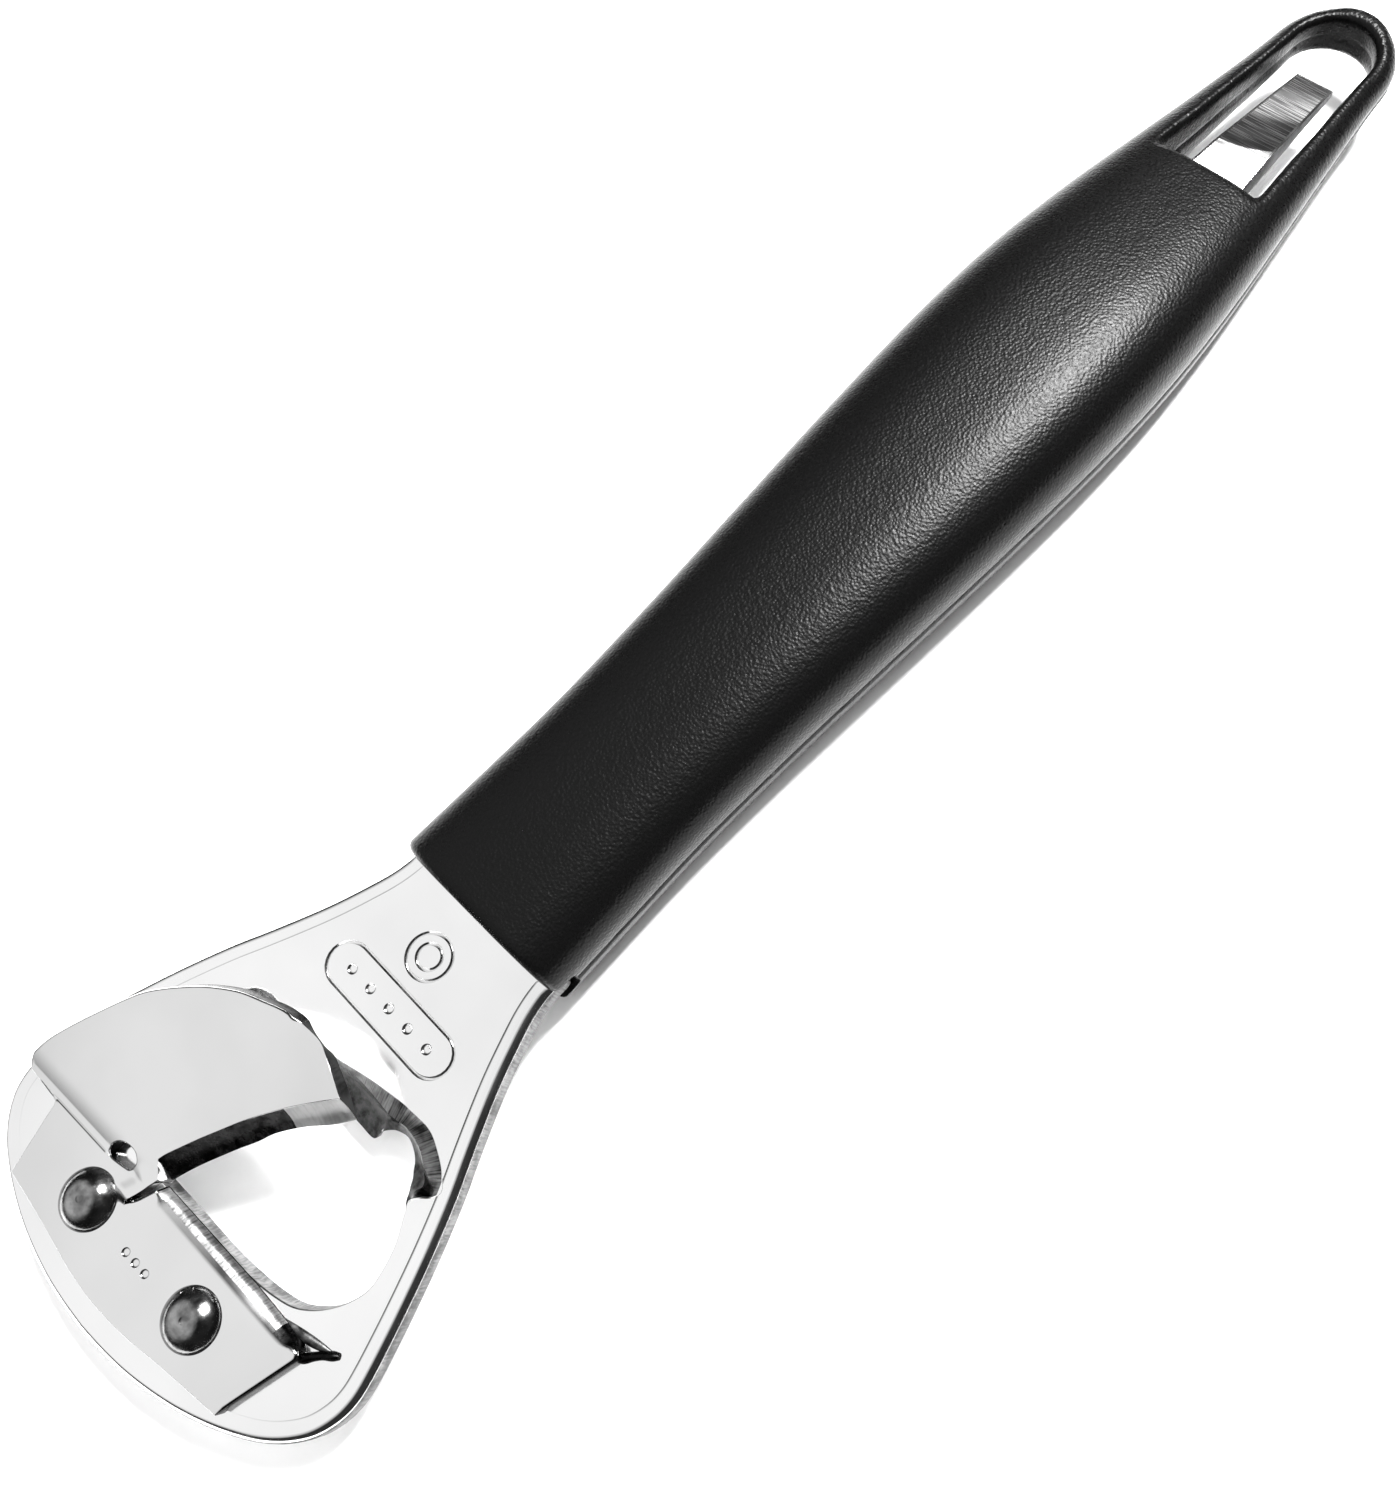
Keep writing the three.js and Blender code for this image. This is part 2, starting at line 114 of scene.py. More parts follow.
def add_sky():
    """A dark dome with one pale patch, high over the far side of the head."""
    world = bpy.data.worlds.new("studio")
    bpy.context.scene.world = world
    world.use_nodes = True
    nodes, links = world.node_tree.nodes, world.node_tree.links
    nodes.clear()
    direction = nodes.new("ShaderNodeTexCoord")
    towards = nodes.new("ShaderNodeVectorMath")
    towards.operation = "DOT_PRODUCT"
    towards.inputs[1].default_value = SKY_TOWARDS
    ramp = nodes.new("ShaderNodeValToRGB")
    for element, position, tone in zip(ramp.color_ramp.elements, SKY_EDGE, (SKY_DARK, 1)):
        element.position = position
        element.color = (tone, tone, tone, 1)
    background = nodes.new("ShaderNodeBackground")
    out = nodes.new("ShaderNodeOutputWorld")
    links.new(direction.outputs["Generated"], towards.inputs[0])
    links.new(towards.outputs["Value"], ramp.inputs["Fac"])
    links.new(ramp.outputs["Color"], background.inputs["Color"])
    links.new(background.outputs["Background"], out.inputs["Surface"])


def add_floor():
    mesh = bpy.data.meshes.new("floor")
    corners = [(x * FLOOR_REACH, y * FLOOR_REACH, 0) for x, y in ((-1, -1), (1, -1), (1, 1), (-1, 1))]
    mesh.from_pydata(corners, [], [(0, 1, 2, 3)])
    floor = bpy.data.objects.new("floor", mesh)
    bpy.context.scene.collection.objects.link(floor)
    material = bpy.data.materials.new("floor_paper")
    material.use_nodes = True
    shader = material.node_tree.nodes["Principled BSDF"]
    shader.inputs["Base Color"].default_value = (FLOOR_TONE, FLOOR_TONE, FLOOR_TONE, 1)
    shader.inputs["Roughness"].default_value = 0.9
    mesh.materials.append(material)


def add_stage():
    add_camera()
    add_sky()
    add_floor()
    add_area_light("fill", (-0.1, -0.15, 0.7), (0, 0, 0), (0.6, 0.6), 2.4, mirrored=False)
    add_area_light("key", (-0.25, 0.45, 0.45), (0, 0, 0), (0.4, 0.4), 1.2, mirrored=False)
    add_area_light("crest", (0.33, 0.02, 0.5), (0.03, -0.005, 0), (0.12, 0.2), 16)
    bpy.context.scene.view_settings.view_transform = "Standard"


# ---- Materials ----

class Shader:
    """A node material with short helpers for its texture nodes."""

    def __init__(self, name):
        self.material = bpy.data.materials.new(name)
        self.material.use_nodes = True
        self.tree = self.material.node_tree
        self.surface = self.tree.nodes["Principled BSDF"]
        places = self.node("ShaderNodeTexCoord")
        self.place = places.outputs["Object"]
        self.spread = places.outputs["UV"]

    def node(self, kind, **values):
        made = self.tree.nodes.new(kind)
        for key, value in values.items():
            setattr(made, key, value)
        return made

    def link(self, out, into):
        self.tree.links.new(out, into)

    def stretched(self, where, scale):
        """Coordinates squeezed so that a noise turns into lines."""
        mapping = self.node("ShaderNodeMapping")
        mapping.inputs["Scale"].default_value = scale
        self.link(where, mapping.inputs["Vector"])
        return mapping.outputs["Vector"]

    def compute(self, operation, *values):
        """A maths node; each value is a number or the output of a node."""
        made = self.node("ShaderNodeMath", operation=operation)
        for value, socket in zip(values, made.inputs):
            if isinstance(value, (int, float)):
                socket.default_value = value
            else:
                self.link(value, socket)
        return made.outputs[0]

    def noise(self, scale, where=None, detail=3.0, roughness=0.5):
        noise = self.node("ShaderNodeTexNoise")
        noise.inputs["Scale"].default_value = scale
        noise.inputs["Detail"].default_value = detail
        noise.inputs["Roughness"].default_value = roughness
        self.link(where or self.place, noise.inputs["Vector"])
        return noise.outputs["Fac"]

    def ramp(self, value, stops):
        ramp = self.node("ShaderNodeValToRGB")
        elements = ramp.color_ramp.elements
        while len(elements) < len(stops):
            elements.new(0.5)
        for element, (position, level) in zip(elements, stops):
            element.position = position
            element.color = (level, level, level, 1)
        self.link(value, ramp.inputs["Fac"])
        return ramp.outputs["Color"]

    def bump(self, height, strength, distance, after=None):
        bump = self.node("ShaderNodeBump")
        bump.inputs["Strength"].default_value = strength
        bump.inputs["Distance"].default_value = distance
        self.link(height, bump.inputs["Height"])
        if after is not None:
            self.link(after, bump.inputs["Normal"])
        return bump.outputs["Normal"]

    def constant(self, **values):
        for key, value in values.items():
            self.surface.inputs[key.replace("_", " ")].default_value = value

    def finish(self, normal, colour=None, rough=None):
        """Joins the outputs to the shader and hands over the material."""
        for out, into in ((normal, "Normal"), (colour, "Base Color"), (rough, "Roughness")):
            if out is not None:
                self.link(out, self.surface.inputs[into])
        return self.material


def polished_steel(name, levels):
    """Mirror steel: faint polishing haze and a very slow waviness from rolling."""
    steel = Shader(name)
    steel.constant(Metallic=1.0)
    tone = steel.ramp(steel.noise(35, detail=4), [(0.35, levels[0]), (0.65, levels[1])])
    haze = steel.ramp(steel.noise(260, detail=6), [(0.3, 0.09), (0.75, 0.17)])
    wavy = steel.bump(steel.noise(28, detail=2), 0.25, 0.0006)
    return steel.finish(steel.bump(steel.noise(1500, detail=4), 0.06, 0.00003, wavy), tone, haze)


def lined_steel(name, levels, rough, lines_per_mm=5, relief=0.4, metallic=1.0):
    """Metal with close lines across its edge, as left by a punch or a grinding wheel."""
    lined = Shader(name)
    lined.constant(Metallic=metallic, Specular_IOR_Level=0.03)
    lines = lined.noise(1.0, lined.stretched(lined.spread, (lines_per_mm, 0.35, 1)), detail=3)
    both = lined.compute("MULTIPLY", lines, lined.noise(500, detail=3))
    tone = lined.ramp(both, [(0.16, levels[0]), (0.34, levels[1])])
    haze = lined.ramp(lines, [(0.3, rough[0]), (0.7, rough[1])])
    return lined.finish(lined.bump(lines, relief, 0.00006), tone, haze)


def mottled_steel(name, levels, rough, scale):
    """Metal with cloudy patches in tone and roughness; where it is given dark tones, they are painted shade.
    """
    mottled = Shader(name)
    mottled.constant(Metallic=1.0)
    clouds = mottled.noise(scale, detail=5, roughness=0.65)
    tone = mottled.ramp(clouds, [(0.35, levels[0]), (0.65, levels[1])])
    haze = mottled.ramp(clouds, [(0.3, rough[0]), (0.7, rough[1])])
    return mottled.finish(mottled.bump(clouds, 0.3, 0.00008), tone, haze)


def ground_tongue():
    """The tongue's top: polished as far as the ground part, which has lines across it and darker ends."""
    tongue = Shader("ground_tongue")
    tongue.constant(Metallic=1.0)
    parts = tongue.node("ShaderNodeSeparateXYZ")
    tongue.link(tongue.place, parts.inputs[0])
    x, y = parts.outputs["X"], parts.outputs["Y"]
    # The tones follow the line of grind_start across the tongue.
    curved = tongue.compute("MULTIPLY_ADD", tongue.compute("MULTIPLY", y, y), -GRIND_CURVE / MM, x)
    along = tongue.node("ShaderNodeMapRange")
    tongue.link(tongue.compute("MULTIPLY_ADD", y, GRIND_SLANT, curved), along.inputs["Value"])
    along.inputs["From Min"].default_value = at(GRIND_START_X - 5, 0, 0)[0]
    along.inputs["From Max"].default_value = at(GRIND_START_X + 15, 0, 0)[0]
    # These tones are painted light and shade: the polished part darker than the plate's steel, a dark line
    # just before the step, and on the ground part a painted highlight band between darker ends.
    tone = tongue.ramp(along.outputs[0], [
        (0.0, 0.5), (0.1, 0.6), (0.2, 0.25), (0.25, 0.5), (0.252, 0.06), (0.49, 0.08), (0.53, 0.3),
        (0.62, 0.4), (0.7, 0.3), (0.76, 0.12), (0.86, 0.09),
    ])
    lines = tongue.noise(1.0, tongue.stretched(tongue.place, (7000, 150, 0)), detail=2)
    tone = tongue.compute("MULTIPLY", tone, tongue.ramp(lines, [(0.35, 0.62), (0.65, 1.0)]))
    haze = tongue.ramp(lines, [(0.3, 0.2), (0.7, 0.32)])
    return tongue.finish(tongue.bump(lines, 0.2, 0.00004), tone, haze)


def rivet_steel():
    """Steel painted darker than the plate, as painted shade on the domes, unevenly polished by the riveting
    tool.
    """
    steel = Shader("rivet_steel")
    steel.constant(Metallic=1.0)
    tone = steel.ramp(steel.noise(800, detail=5), [(0.35, 0.14), (0.65, 0.36)])
    haze = steel.ramp(steel.noise(900, detail=5), [(0.3, 0.10), (0.75, 0.24)])
    return steel.finish(steel.bump(steel.noise(700, detail=5), 0.35, 0.00012), tone, haze)


def black_plastic():
    """Black moulding with a fine spark-eroded grain."""
    plastic = Shader("black_plastic")
    plastic.constant(Metallic=0.0, Base_Color=(0.002, 0.002, 0.002, 1), Specular_IOR_Level=0.08)
    cells = plastic.node("ShaderNodeTexVoronoi", feature="SMOOTH_F1")
    cells.inputs["Scale"].default_value = 3600
    cells.inputs["Smoothness"].default_value = 0.6
    plastic.link(plastic.place, cells.inputs["Vector"])
    fine = plastic.noise(4200, detail=3)
    coarse = plastic.bump(cells.outputs["Distance"], 0.3, 0.0001)
    haze = plastic.ramp(fine, [(0.3, 0.25), (0.7, 0.36)])
    return plastic.finish(plastic.bump(fine, 0.35, 0.00005, coarse), rough=haze)


# ---- Mesh tools ----

def spline(points, step, closed=False):
    """A smooth line through points of any dimension, as a list about step apart."""
    points = [np.array(p, float) for p in points]
    count = len(points)
    spans = count if closed else count - 1
    line = []
    for i in range(spans):
        if closed:
            before, start, end, after = (points[(i + k) % count] for k in (-1, 0, 1, 2))
        else:
            start, end = points[i], points[i + 1]
            before = points[i - 1] if i else 2 * start - end
            after = points[i + 2] if i + 2 < count else 2 * end - start
        length = np.linalg.norm((end - start)[:2])
        parts = max(1, round(length / step))
        spans_round = ((before, start), (start, end), (end, after))
        reach = [max(np.linalg.norm(b - a), 1e-6) ** 0.5 for a, b in spans_round]
        t0, t1 = 0.0, reach[0]
        t2 = t1 + reach[1]
        t3 = t2 + reach[2]
        for k in range(parts):
            t = t1 + (t2 - t1) * k / parts
            a = (t1 - t) / (t1 - t0) * before + (t - t0) / (t1 - t0) * start
            b = (t2 - t) / (t2 - t1) * start + (t - t1) / (t2 - t1) * end
            c = (t3 - t) / (t3 - t2) * end + (t - t2) / (t3 - t2) * after
            d = (t2 - t) / (t2 - t0) * a + (t - t0) / (t2 - t0) * b
            e = (t3 - t) / (t3 - t1) * b + (t - t1) / (t3 - t1) * c
            line.append((t2 - t) / (t2 - t1) * d + (t - t1) / (t2 - t1) * e)
    if not closed:
        line.append(points[-1])
    return line


def straight(start, end, step):
    """The points of a straight line, without its end."""
    start, end = np.array(start, float), np.array(end, float)
    parts = max(1, round(np.linalg.norm((end - start)[:2]) / step))
    return [start + (end - start) * k / parts for k in range(parts)]


def circle(x, y, radius, sides=48):
    turns = [2 * math.pi * i / sides for i in range(sides)]
    return [(x + radius * math.cos(t), y + radius * math.sin(t)) for t in turns]


def outward(points):
    """Unit normals of a closed outline, pointing away from its inside, lengthened at corners."""
    flat = np.array([p[:2] for p in points], float)
    ahead = np.roll(flat, -1, 0) - flat
    ahead /= np.maximum(np.linalg.norm(ahead, axis=1, keepdims=True), 1e-9)
    behind = np.roll(ahead, 1, 0)
    area = np.sum(flat[:, 0] * np.roll(flat[:, 1], -1) - np.roll(flat[:, 0], -1) * flat[:, 1])
    turn = 1.0 if area > 0 else -1.0
    mean = ahead + behind
    mean /= np.maximum(np.linalg.norm(mean, axis=1, keepdims=True), 1e-9)
    normal = np.stack([mean[:, 1], -mean[:, 0]], 1) * turn
    stretch = 1.0 / np.maximum(np.sum(mean * ahead, 1), 0.6)
    return normal * stretch[:, None]


def inside(outline, places):
    """Whether each place is inside a closed outline."""
    a = np.array([p[:2] for p in outline], float)
    b = np.roll(a, -1, 0)
    x, y = places[:, 0][:, None], places[:, 1][:, None]
    crosses = (a[:, 1] > y) != (b[:, 1] > y)
    rise = np.where(np.abs(b[:, 1] - a[:, 1]) < 1e-12, 1e-12, b[:, 1] - a[:, 1])
    left = x < (b[:, 0] - a[:, 0]) * (y - a[:, 1]) / rise + a[:, 0]
    return np.sum(crosses & left, 1) % 2 == 1


class Sheet:
    """A closed solid between a top and a bottom face, whose edges are loops of rings.

    A ring is a list of (x, y, z); the first ring of a loop bounds the top face and the last one the bottom.
    """

    def __init__(self, name, lift):
        self.name = name
        self.lift = lift
        self.points = []
        self.faces = []
        self.material_of = []
        self.spread = []  # texture coordinates of each face's corners, in millimetres along an edge
        self.on_cap = []
        self.borders = {0: [], -1: []}

    def add_point(self, point):
        self.points.append(at(*self.lift(*point)))
        return len(self.points) - 1

    def add_rings(self, rings, material):
        """Joins rings; material(k, i) is the material of the face between rings k and k + 1 at point i."""
        numbers = [[self.add_point(p) for p in ring] for ring in rings]
        count = len(rings[0])
        steps = [math.dist(rings[0][i][:2], rings[0][(i + 1) % count][:2]) for i in range(count)]
        along = [0.0] + np.cumsum(steps).tolist()
        for k in range(len(rings) - 1):
            for i in range(count):
                j = (i + 1) % count
                self.faces.append((numbers[k][i], numbers[k][j], numbers[k + 1][j], numbers[k + 1][i]))
                self.material_of.append(material(k, i))
                here, there = along[i], along[i + 1]
                self.spread.append([(here, k), (there, k), (there, k + 1), (here, k + 1)])
                self.on_cap.append(False)
        return numbers

    def add_loop(self, rings, material):
        """An edge right through the sheet."""
        numbers = self.add_rings(rings, material)
        self.borders[0].append((rings[0], numbers[0]))
        self.borders[-1].append((rings[-1], numbers[-1]))

    def add_groove(self, line, half_width, depth):
        """A closed groove with a V section in the top face, along a closed line."""
        side = outward(line) * half_width
        outer = [(p[0] + n[0], p[1] + n[1], 0) for p, n in zip(line, side)]
        foot = [(p[0], p[1], -depth) for p in line]
        inner = [(p[0] - n[0], p[1] - n[1], 0) for p, n in zip(line, side)]
        numbers = self.add_rings([outer, foot, inner], lambda k, i: 0)
        self.borders[0] += [(outer, numbers[0]), (inner, numbers[-1])]

    def add_dimple(self, x, y, radius, depth):
        """A round pit in the top face."""
        sides = 20
        rings = []
        for share, fall in ((1, 0), (0.82, 0.55), (0.5, 0.92), (0.15, 1)):
            rings.append([(*p, -depth * fall) for p in circle(x, y, radius * share, sides)])
        numbers = self.add_rings(rings, lambda k, i: 0)
        self.faces.append(tuple(numbers[-1]))
        self.material_of.append(0)
        self.spread.append([(0, 0)] * sides)
        self.on_cap.append(False)
        self.borders[0].append((rings[0], numbers[0]))

    def cap(self, which, extra, z, material=lambda x, y: 0):
        """Fills the top (which = 0) or the bottom (which = -1) between its borders, through extra points."""
        flat, numbers, edges = [], [], []
        for ring, row in self.borders[which]:
            start = len(flat)
            flat += [Vector((p[0], p[1])) for p in ring]
            numbers += row
            count = len(ring)
            edges += [(start + i, start + (i + 1) % count) for i in range(count)]
        for x, y in extra:
            flat.append(Vector((x, y)))
            numbers.append(self.add_point((x, y, z)))
        made, _, faces, origins, _, _ = delaunay_2d_cdt(flat, edges, [], 0, 1e-7)
        chosen = []
        for place, origin in zip(made, origins):
            chosen.append(numbers[origin[0]] if origin else self.add_point((place[0], place[1], z)))
        middles = np.array([np.mean([made[v][:] for v in face], 0) for face in faces])
        within = sum(inside(ring, middles).astype(int) for ring, _ in self.borders[which])
        for face, count, middle in zip(faces, within, middles):
            if count % 2:
                self.faces.append(tuple(chosen[v] for v in face))
                self.material_of.append(material(*middle))
                self.on_cap.append(True)
                self.spread.append([tuple(made[v]) for v in face])

    def free_places(self, places, gap):
        """The places inside the top face that keep a gap from its borders."""
        places = np.array(places)
        rim = np.array([p[:2] for ring, _ in self.borders[0] for p in ring])
        nearest = np.array([np.min(np.hypot(*(rim - place).T)) for place in places])
        within = sum(inside(ring, places).astype(int) for ring, _ in self.borders[0])
        return places[(nearest > gap) & (within % 2 == 1)].tolist()

    def finish(self, materials, sharp):
        return make_piece(self.name, self.points, self.faces, materials, sharp, self)


def make_piece(name, points, faces, materials, sharp, sheet=None):
    """Makes an object whose edges turn crisp above sharp degrees.

    A sheet adds its faces' materials, texture coordinates and crisp borders round its top and bottom.
    """
    mesh = bpy.data.meshes.new(name)
    mesh.from_pydata([tuple(p) for p in points], [], [tuple(f) for f in faces])
    for material in materials:
        mesh.materials.append(material)
    if sheet:
        mesh.polygons.foreach_set("material_index", sheet.material_of)
        layer = mesh.uv_layers.new(name="spread")
        layer.data.foreach_set("uv", [value for face in sheet.spread for corner in face for value in corner])
    mesh.shade_smooth()
    tidy = bmesh.new()
    tidy.from_mesh(mesh)
    capped = {face for face in tidy.faces if sheet and sheet.on_cap[face.index]}
    for edge in tidy.edges:
        edge.smooth = len({face in capped for face in edge.link_faces}) < 2
    bmesh.ops.remove_doubles(tidy, verts=tidy.verts, dist=1e-7)
    bmesh.ops.delete(tidy, geom=[v for v in tidy.verts if not v.link_faces], context="VERTS")
    bmesh.ops.recalc_face_normals(tidy, faces=tidy.faces)
    for edge in tidy.edges:
        if edge.calc_face_angle(0) > math.radians(sharp):
            edge.smooth = False
    tidy.to_mesh(mesh)
    tidy.free()
    piece = bpy.data.objects.new(name, mesh)
    bpy.context.scene.collection.objects.link(piece)
    return piece


def edge_rings(outline, profiles):
    """Rings round an outline. profiles[i] lists (inset, depth) from the top face to the bottom face."""
    normals = outward(outline)
    rings = []
    for k in range(len(profiles[0])):
        ring = []
        for point, normal, profile in zip(outline, normals, profiles):
            inset, depth = profile[k]
            ring.append((point[0] - normal[0] * inset, point[1] - normal[1] * inset, -depth))
        rings.append(ring)
    return rings


def tube_faces(rings, sides):
    """Quads that join rings of points, each with the same number of sides."""
    faces = []
    for k in range(rings - 1):
        for i in range(sides):
            j = (i + 1) % sides
            faces.append((k * sides + i, k * sides + j, (k + 1) * sides + j, (k + 1) * sides + i))
    return faces


def between(value, low, high):
    """0 below low, 1 above high, and a smooth step between."""
    t = min(max((value - low) / (high - low), 0.0), 1.0)
    return t * t * (3 - 2 * t)


# ---- Body plate ----

# The plate's materials, in build_opener's order.
# The near-black material is painted shade and painted dark reflection on edge rings, hole walls and the
# catch.
STEEL, SHEARED, BAND, LIP, SHADE_BLACK, TONGUE = range(6)

# Half of the head's outline from its far end to the neck, as (x, y). The far end is drawn square here.
HEAD_HALF = [
    (-45.9, 0), (-45.75, 3), (-45.4, 5.9), (-44.5, 9.8), (-43.4, 12.9), (-42.2, 15.4), (-40.9, 17.5),
    (-39.3, 19.2), (-37.5, 20.4), (-35.3, 21.0), (-32.8, 21.0), (-30.3, 20.5), (-27.7, 19.7), (-24.5, 18.6),
    (-21, 17.3), (-16.7, 15.5), (-13.8, 14.1), (-11, 12.8), (-8, 11.5), (-5, 10.4), (-2.5, 9.6), (-0.6, 9.25),
    (1.2, 9.2),
]
SKEW_END = (-36.9, -28.9)  # the skew is full up to the first x and gone at the second
NECK_END_X = 1.9
TANG_HALF_WIDTH = 6.6
TANG_END_X = 70
HIDDEN_X = 60  # inside the handle, where the top changes to the tongue's material
TONGUE_ROOT = (95.8, 3.3)
TONGUE_TIP = (116.1, 2.05)
GRIND_START_X = 104.2  # at the tongue's middle
GRIND_SLANT = 0.32
GRIND_CURVE = 0.06
GRIND_STEP = 0.06  # the drop where the grinding starts
TONGUE_TIP_THICKNESS = 0.9
# The rolled-over top edge and the punched wall below it: (inset, depth).
DIE_ROLL = [
    (1.75, 0), (1.62, 0.045), (1.56, 0.05), (0.9, 0.07), (0.58, 0.12), (0.34, 0.26), (0.15, 0.46),
    (0.04, 0.68), (0, 0.9),
]


def lean(x, y):
    """Skews the head's end and lets the rest stay square."""
    return (x - HEAD_SKEW * y * (1 - between(x, *SKEW_END)), y)


def plate_outline():
    near = spline([(x, -y) for x, y in reversed(HEAD_HALF)], 0.5)
    far = spline(HEAD_HALF, 0.5)
    head = [lean(x, y) for x, y in near[:-1] + far]
    corner = [(NECK_END_X - 0.25, 9.1), (NECK_END_X, 8.7), (NECK_END_X + 0.05, 8.3)]
    tang = [(4.4, TANG_HALF_WIDTH), (TANG_END_X, TANG_HALF_WIDTH), TONGUE_ROOT, TONGUE_TIP]
    side = corner + tang
    back = [(x, -y) for x, y in reversed(side)]
    outline = list(head) + [p for a, b in zip(side, side[1:] + [back[0]]) for p in straight(a, b, 1.5)]
    return outline + [p for a, b in zip(back, back[1:] + [head[0]]) for p in straight(a, b, 1.5)]


# The opening from its -Y corner along the neck side, and back along the strip.
# Each row: top edge x, y; foot of the ground band x, y, z; edge of the lip or wall below it x, y, z.
OPENING_NECK_SIDE = [
    (-22.7, -14.35, -22.7, -14.35, -1.2, -22.7, -14.35, -2.1),
    (-21.4, -13.6, -21.4, -13.55, -1.1, -21.3, -13.0, -2.1),
    (-20.4, -13.0, -20.45, -12.85, -0.9, -20.45, -12.05, -2.1),
    (-19.6, -12.65, -19.65, -12.5, -0.8, -19.65, -11.6, -2.05),
    (-18.8, -13.15, -18.9, -12.95, -0.7, -19.15, -11.3, -2.0),
    (-18.2, -13.75, -18.3, -13.55, -0.7, -18.7, -11.05, -2.0),
    (-17.4, -14.05, -17.85, -13.4, -0.8, -18.2, -10.6, -2.0),
    (-16.7, -13.45, -17.6, -12.5, -1.0, -17.8, -10.3, -2.0),
    (-16.05, -12.65, -17.3, -11.6, -1.0, -17.45, -9.9, -2.0),
    (-15.2, -11.0, -16.6, -10.2, -1.0, -17.1, -9.3, -2.0),
    (-14.87, -10.1, -16.3, -9.2, -1.0, -16.9, -8.8, -2.0),
    (-14.75, -9.2, -16.2, -8.5, -1.0, -16.8, -8.25, -2.0),
    (-14.82, -8.0, -16.2, -7.7, -1.0, -16.95, -7.6, -2.0),
    (-14.93, -6.8, -16.4, -6.9, -1.0, -17.3, -6.9, -2.05),
    (-15.1, -5.7, -16.52, -5.9, -1.0, -18.1, -6.2, -2.3),
    (-15.3, -4.6, -16.5, -4.7, -1.0, -19.2, -5.8, -3.2),
    (-15.5, -3.5, -16.45, -3.5, -1.0, -19.35, -4.0, -3.4),
    (-15.95, -1.6, -16.5, -1.6, -1.0, -19.35, -1.6, -3.4),
    (-16.5, 0.5, -16.85, 0.4, -1.0, -19.35, 0.5, -3.4),
    (-16.7, 2.2, -17.0, 2.2, -0.9, -19.35, 2.2, -3.4),
    (-16.8, 4.2, -17.1, 4.2, -0.9, -19.35, 4.2, -3.4),
    (-16.95, 5.5, -17.3, 5.5, -0.9, -19.3, 5.75, -3.3),
    (-17.05, 6.5, -17.4, 6.5, -0.95, -18.1, 6.35, -2.6),
    (-17.1, 7.6, -17.5, 7.7, -1.1, -17.75, 7.6, -2.2),
    (-17.05, 8.5, -17.6, 8.75, -1.3, -17.72, 8.8, -2.1),
    (-17.16, 9.4, -17.8, 9.6, -1.4, -17.85, 9.65, -2.1),
    (-17.6, 10.45, -18.3, 10.25, -1.4, -18.3, 10.3, -2.1),
    (-18.8, 11.4, -18.9, 11.2, -1.2, -18.9, 11.2, -2.1),
]
OPENING_STRIP_SIDE = [
    (-20.5, 12.1), (-22.5, 12.4), (-25.5, 12.4), (-28.2, 12.3), (-30.6, 11.8), (-32.4, 10.6), (-33.4, 8.8),
    (-33.7, 6.5), (-33.6, 3.2), (-33.45, 1), (-33.3, -2), (-33.1, -4.9), (-32.75, -7.6), (-32.3, -9.9),
    (-31.6, -11.9), (-30.5, -13.3), (-29.2, -14.3), (-27.9, -14.95), (-26.4, -15.3), (-24.6, -15.0),
]
LIP_TIP_Z = -4.1
LIP_SHADE_Y = -5.5  # the lip's upper part is black, as painted shade, on the -Y side of this


def opening_rings():
    """Each ring of the opening, and the rows they were made from."""
    wall = [(x, y, x, y, -1.2, x, y, -2.1) for x, y in OPENING_STRIP_SIDE]
    rows = spline(OPENING_NECK_SIDE + wall, 0.3, closed=True)
    top = [(row[0], row[1]) for row in rows]
    edge = [-n * 0.12 for n in outward(top)]
    rings = [[] for _ in range(9)]
    for row, (ex, ey) in zip(rows, edge):
        tx, ty, mx, my, mz, lx, ly, lz = row
        bent = between(-lz, 2.35, 3.3)
        sag = 0.3 * between(-lz, 1.95, 2.1)
        rings[0].append((tx - ex, ty - ey, 0))
        rings[1].append((tx - ex * 0.3, ty - ey * 0.3, -0.04))
        rings[2].append((tx, ty, -0.12))
        rings[3].append((mx, my, mz))
        for k, share in ((4, 0.2), (5, 0.5)):
            dip = sag * math.sin(math.pi * share)
            x, y, z = (a + (b - a) * share for a, b in ((mx, lx), (my, ly), (mz, lz)))
            rings[k].append((x + dip, y, z - dip))
        rings[6].append((lx, ly, lz))
        rings[7].append((lx + 0.35 * bent, ly * (1 - 0.02 * bent), lz + (LIP_TIP_Z + 3.4) * bent - 0.12))
        rings[8].append((lx + 2.9 * bent, ly, -PLATE_THICKNESS))
    return rings, rows


def grind_start(y):
    return GRIND_START_X - GRIND_SLANT * y + GRIND_CURVE * y * y


def plate_lift(x, y, z):
    """Thins the tongue from above towards its tip, from a slanted and curved start."""
    start = grind_start(y)
    if x <= start:
        return (x, y, z)
    share = min((x - start) / (TONGUE_TIP[0] - start), 1.0)
    top = -(PLATE_THICKNESS - TONGUE_TIP_THICKNESS) * share - GRIND_STEP * between(share, 0, 0.1)
    keep = (z + PLATE_THICKNESS) / PLATE_THICKNESS
    return (x, y, -PLATE_THICKNESS + keep * (PLATE_THICKNESS + top))


# Plain marks pressed into the neck: a capsule with a row of dots, and two rings.
NECK_MARK = (-10.6, 0.3)
NECK_MARK_SIZE = (15.2, 4.0)
NECK_DOT_PITCH = 2.5
NECK_RING = (-5.2, 1.0)
NECK_RING_RADII = (2.1, 1.15)
MARK_HALF_WIDTH = 0.17
MARK_DEPTH = 0.14


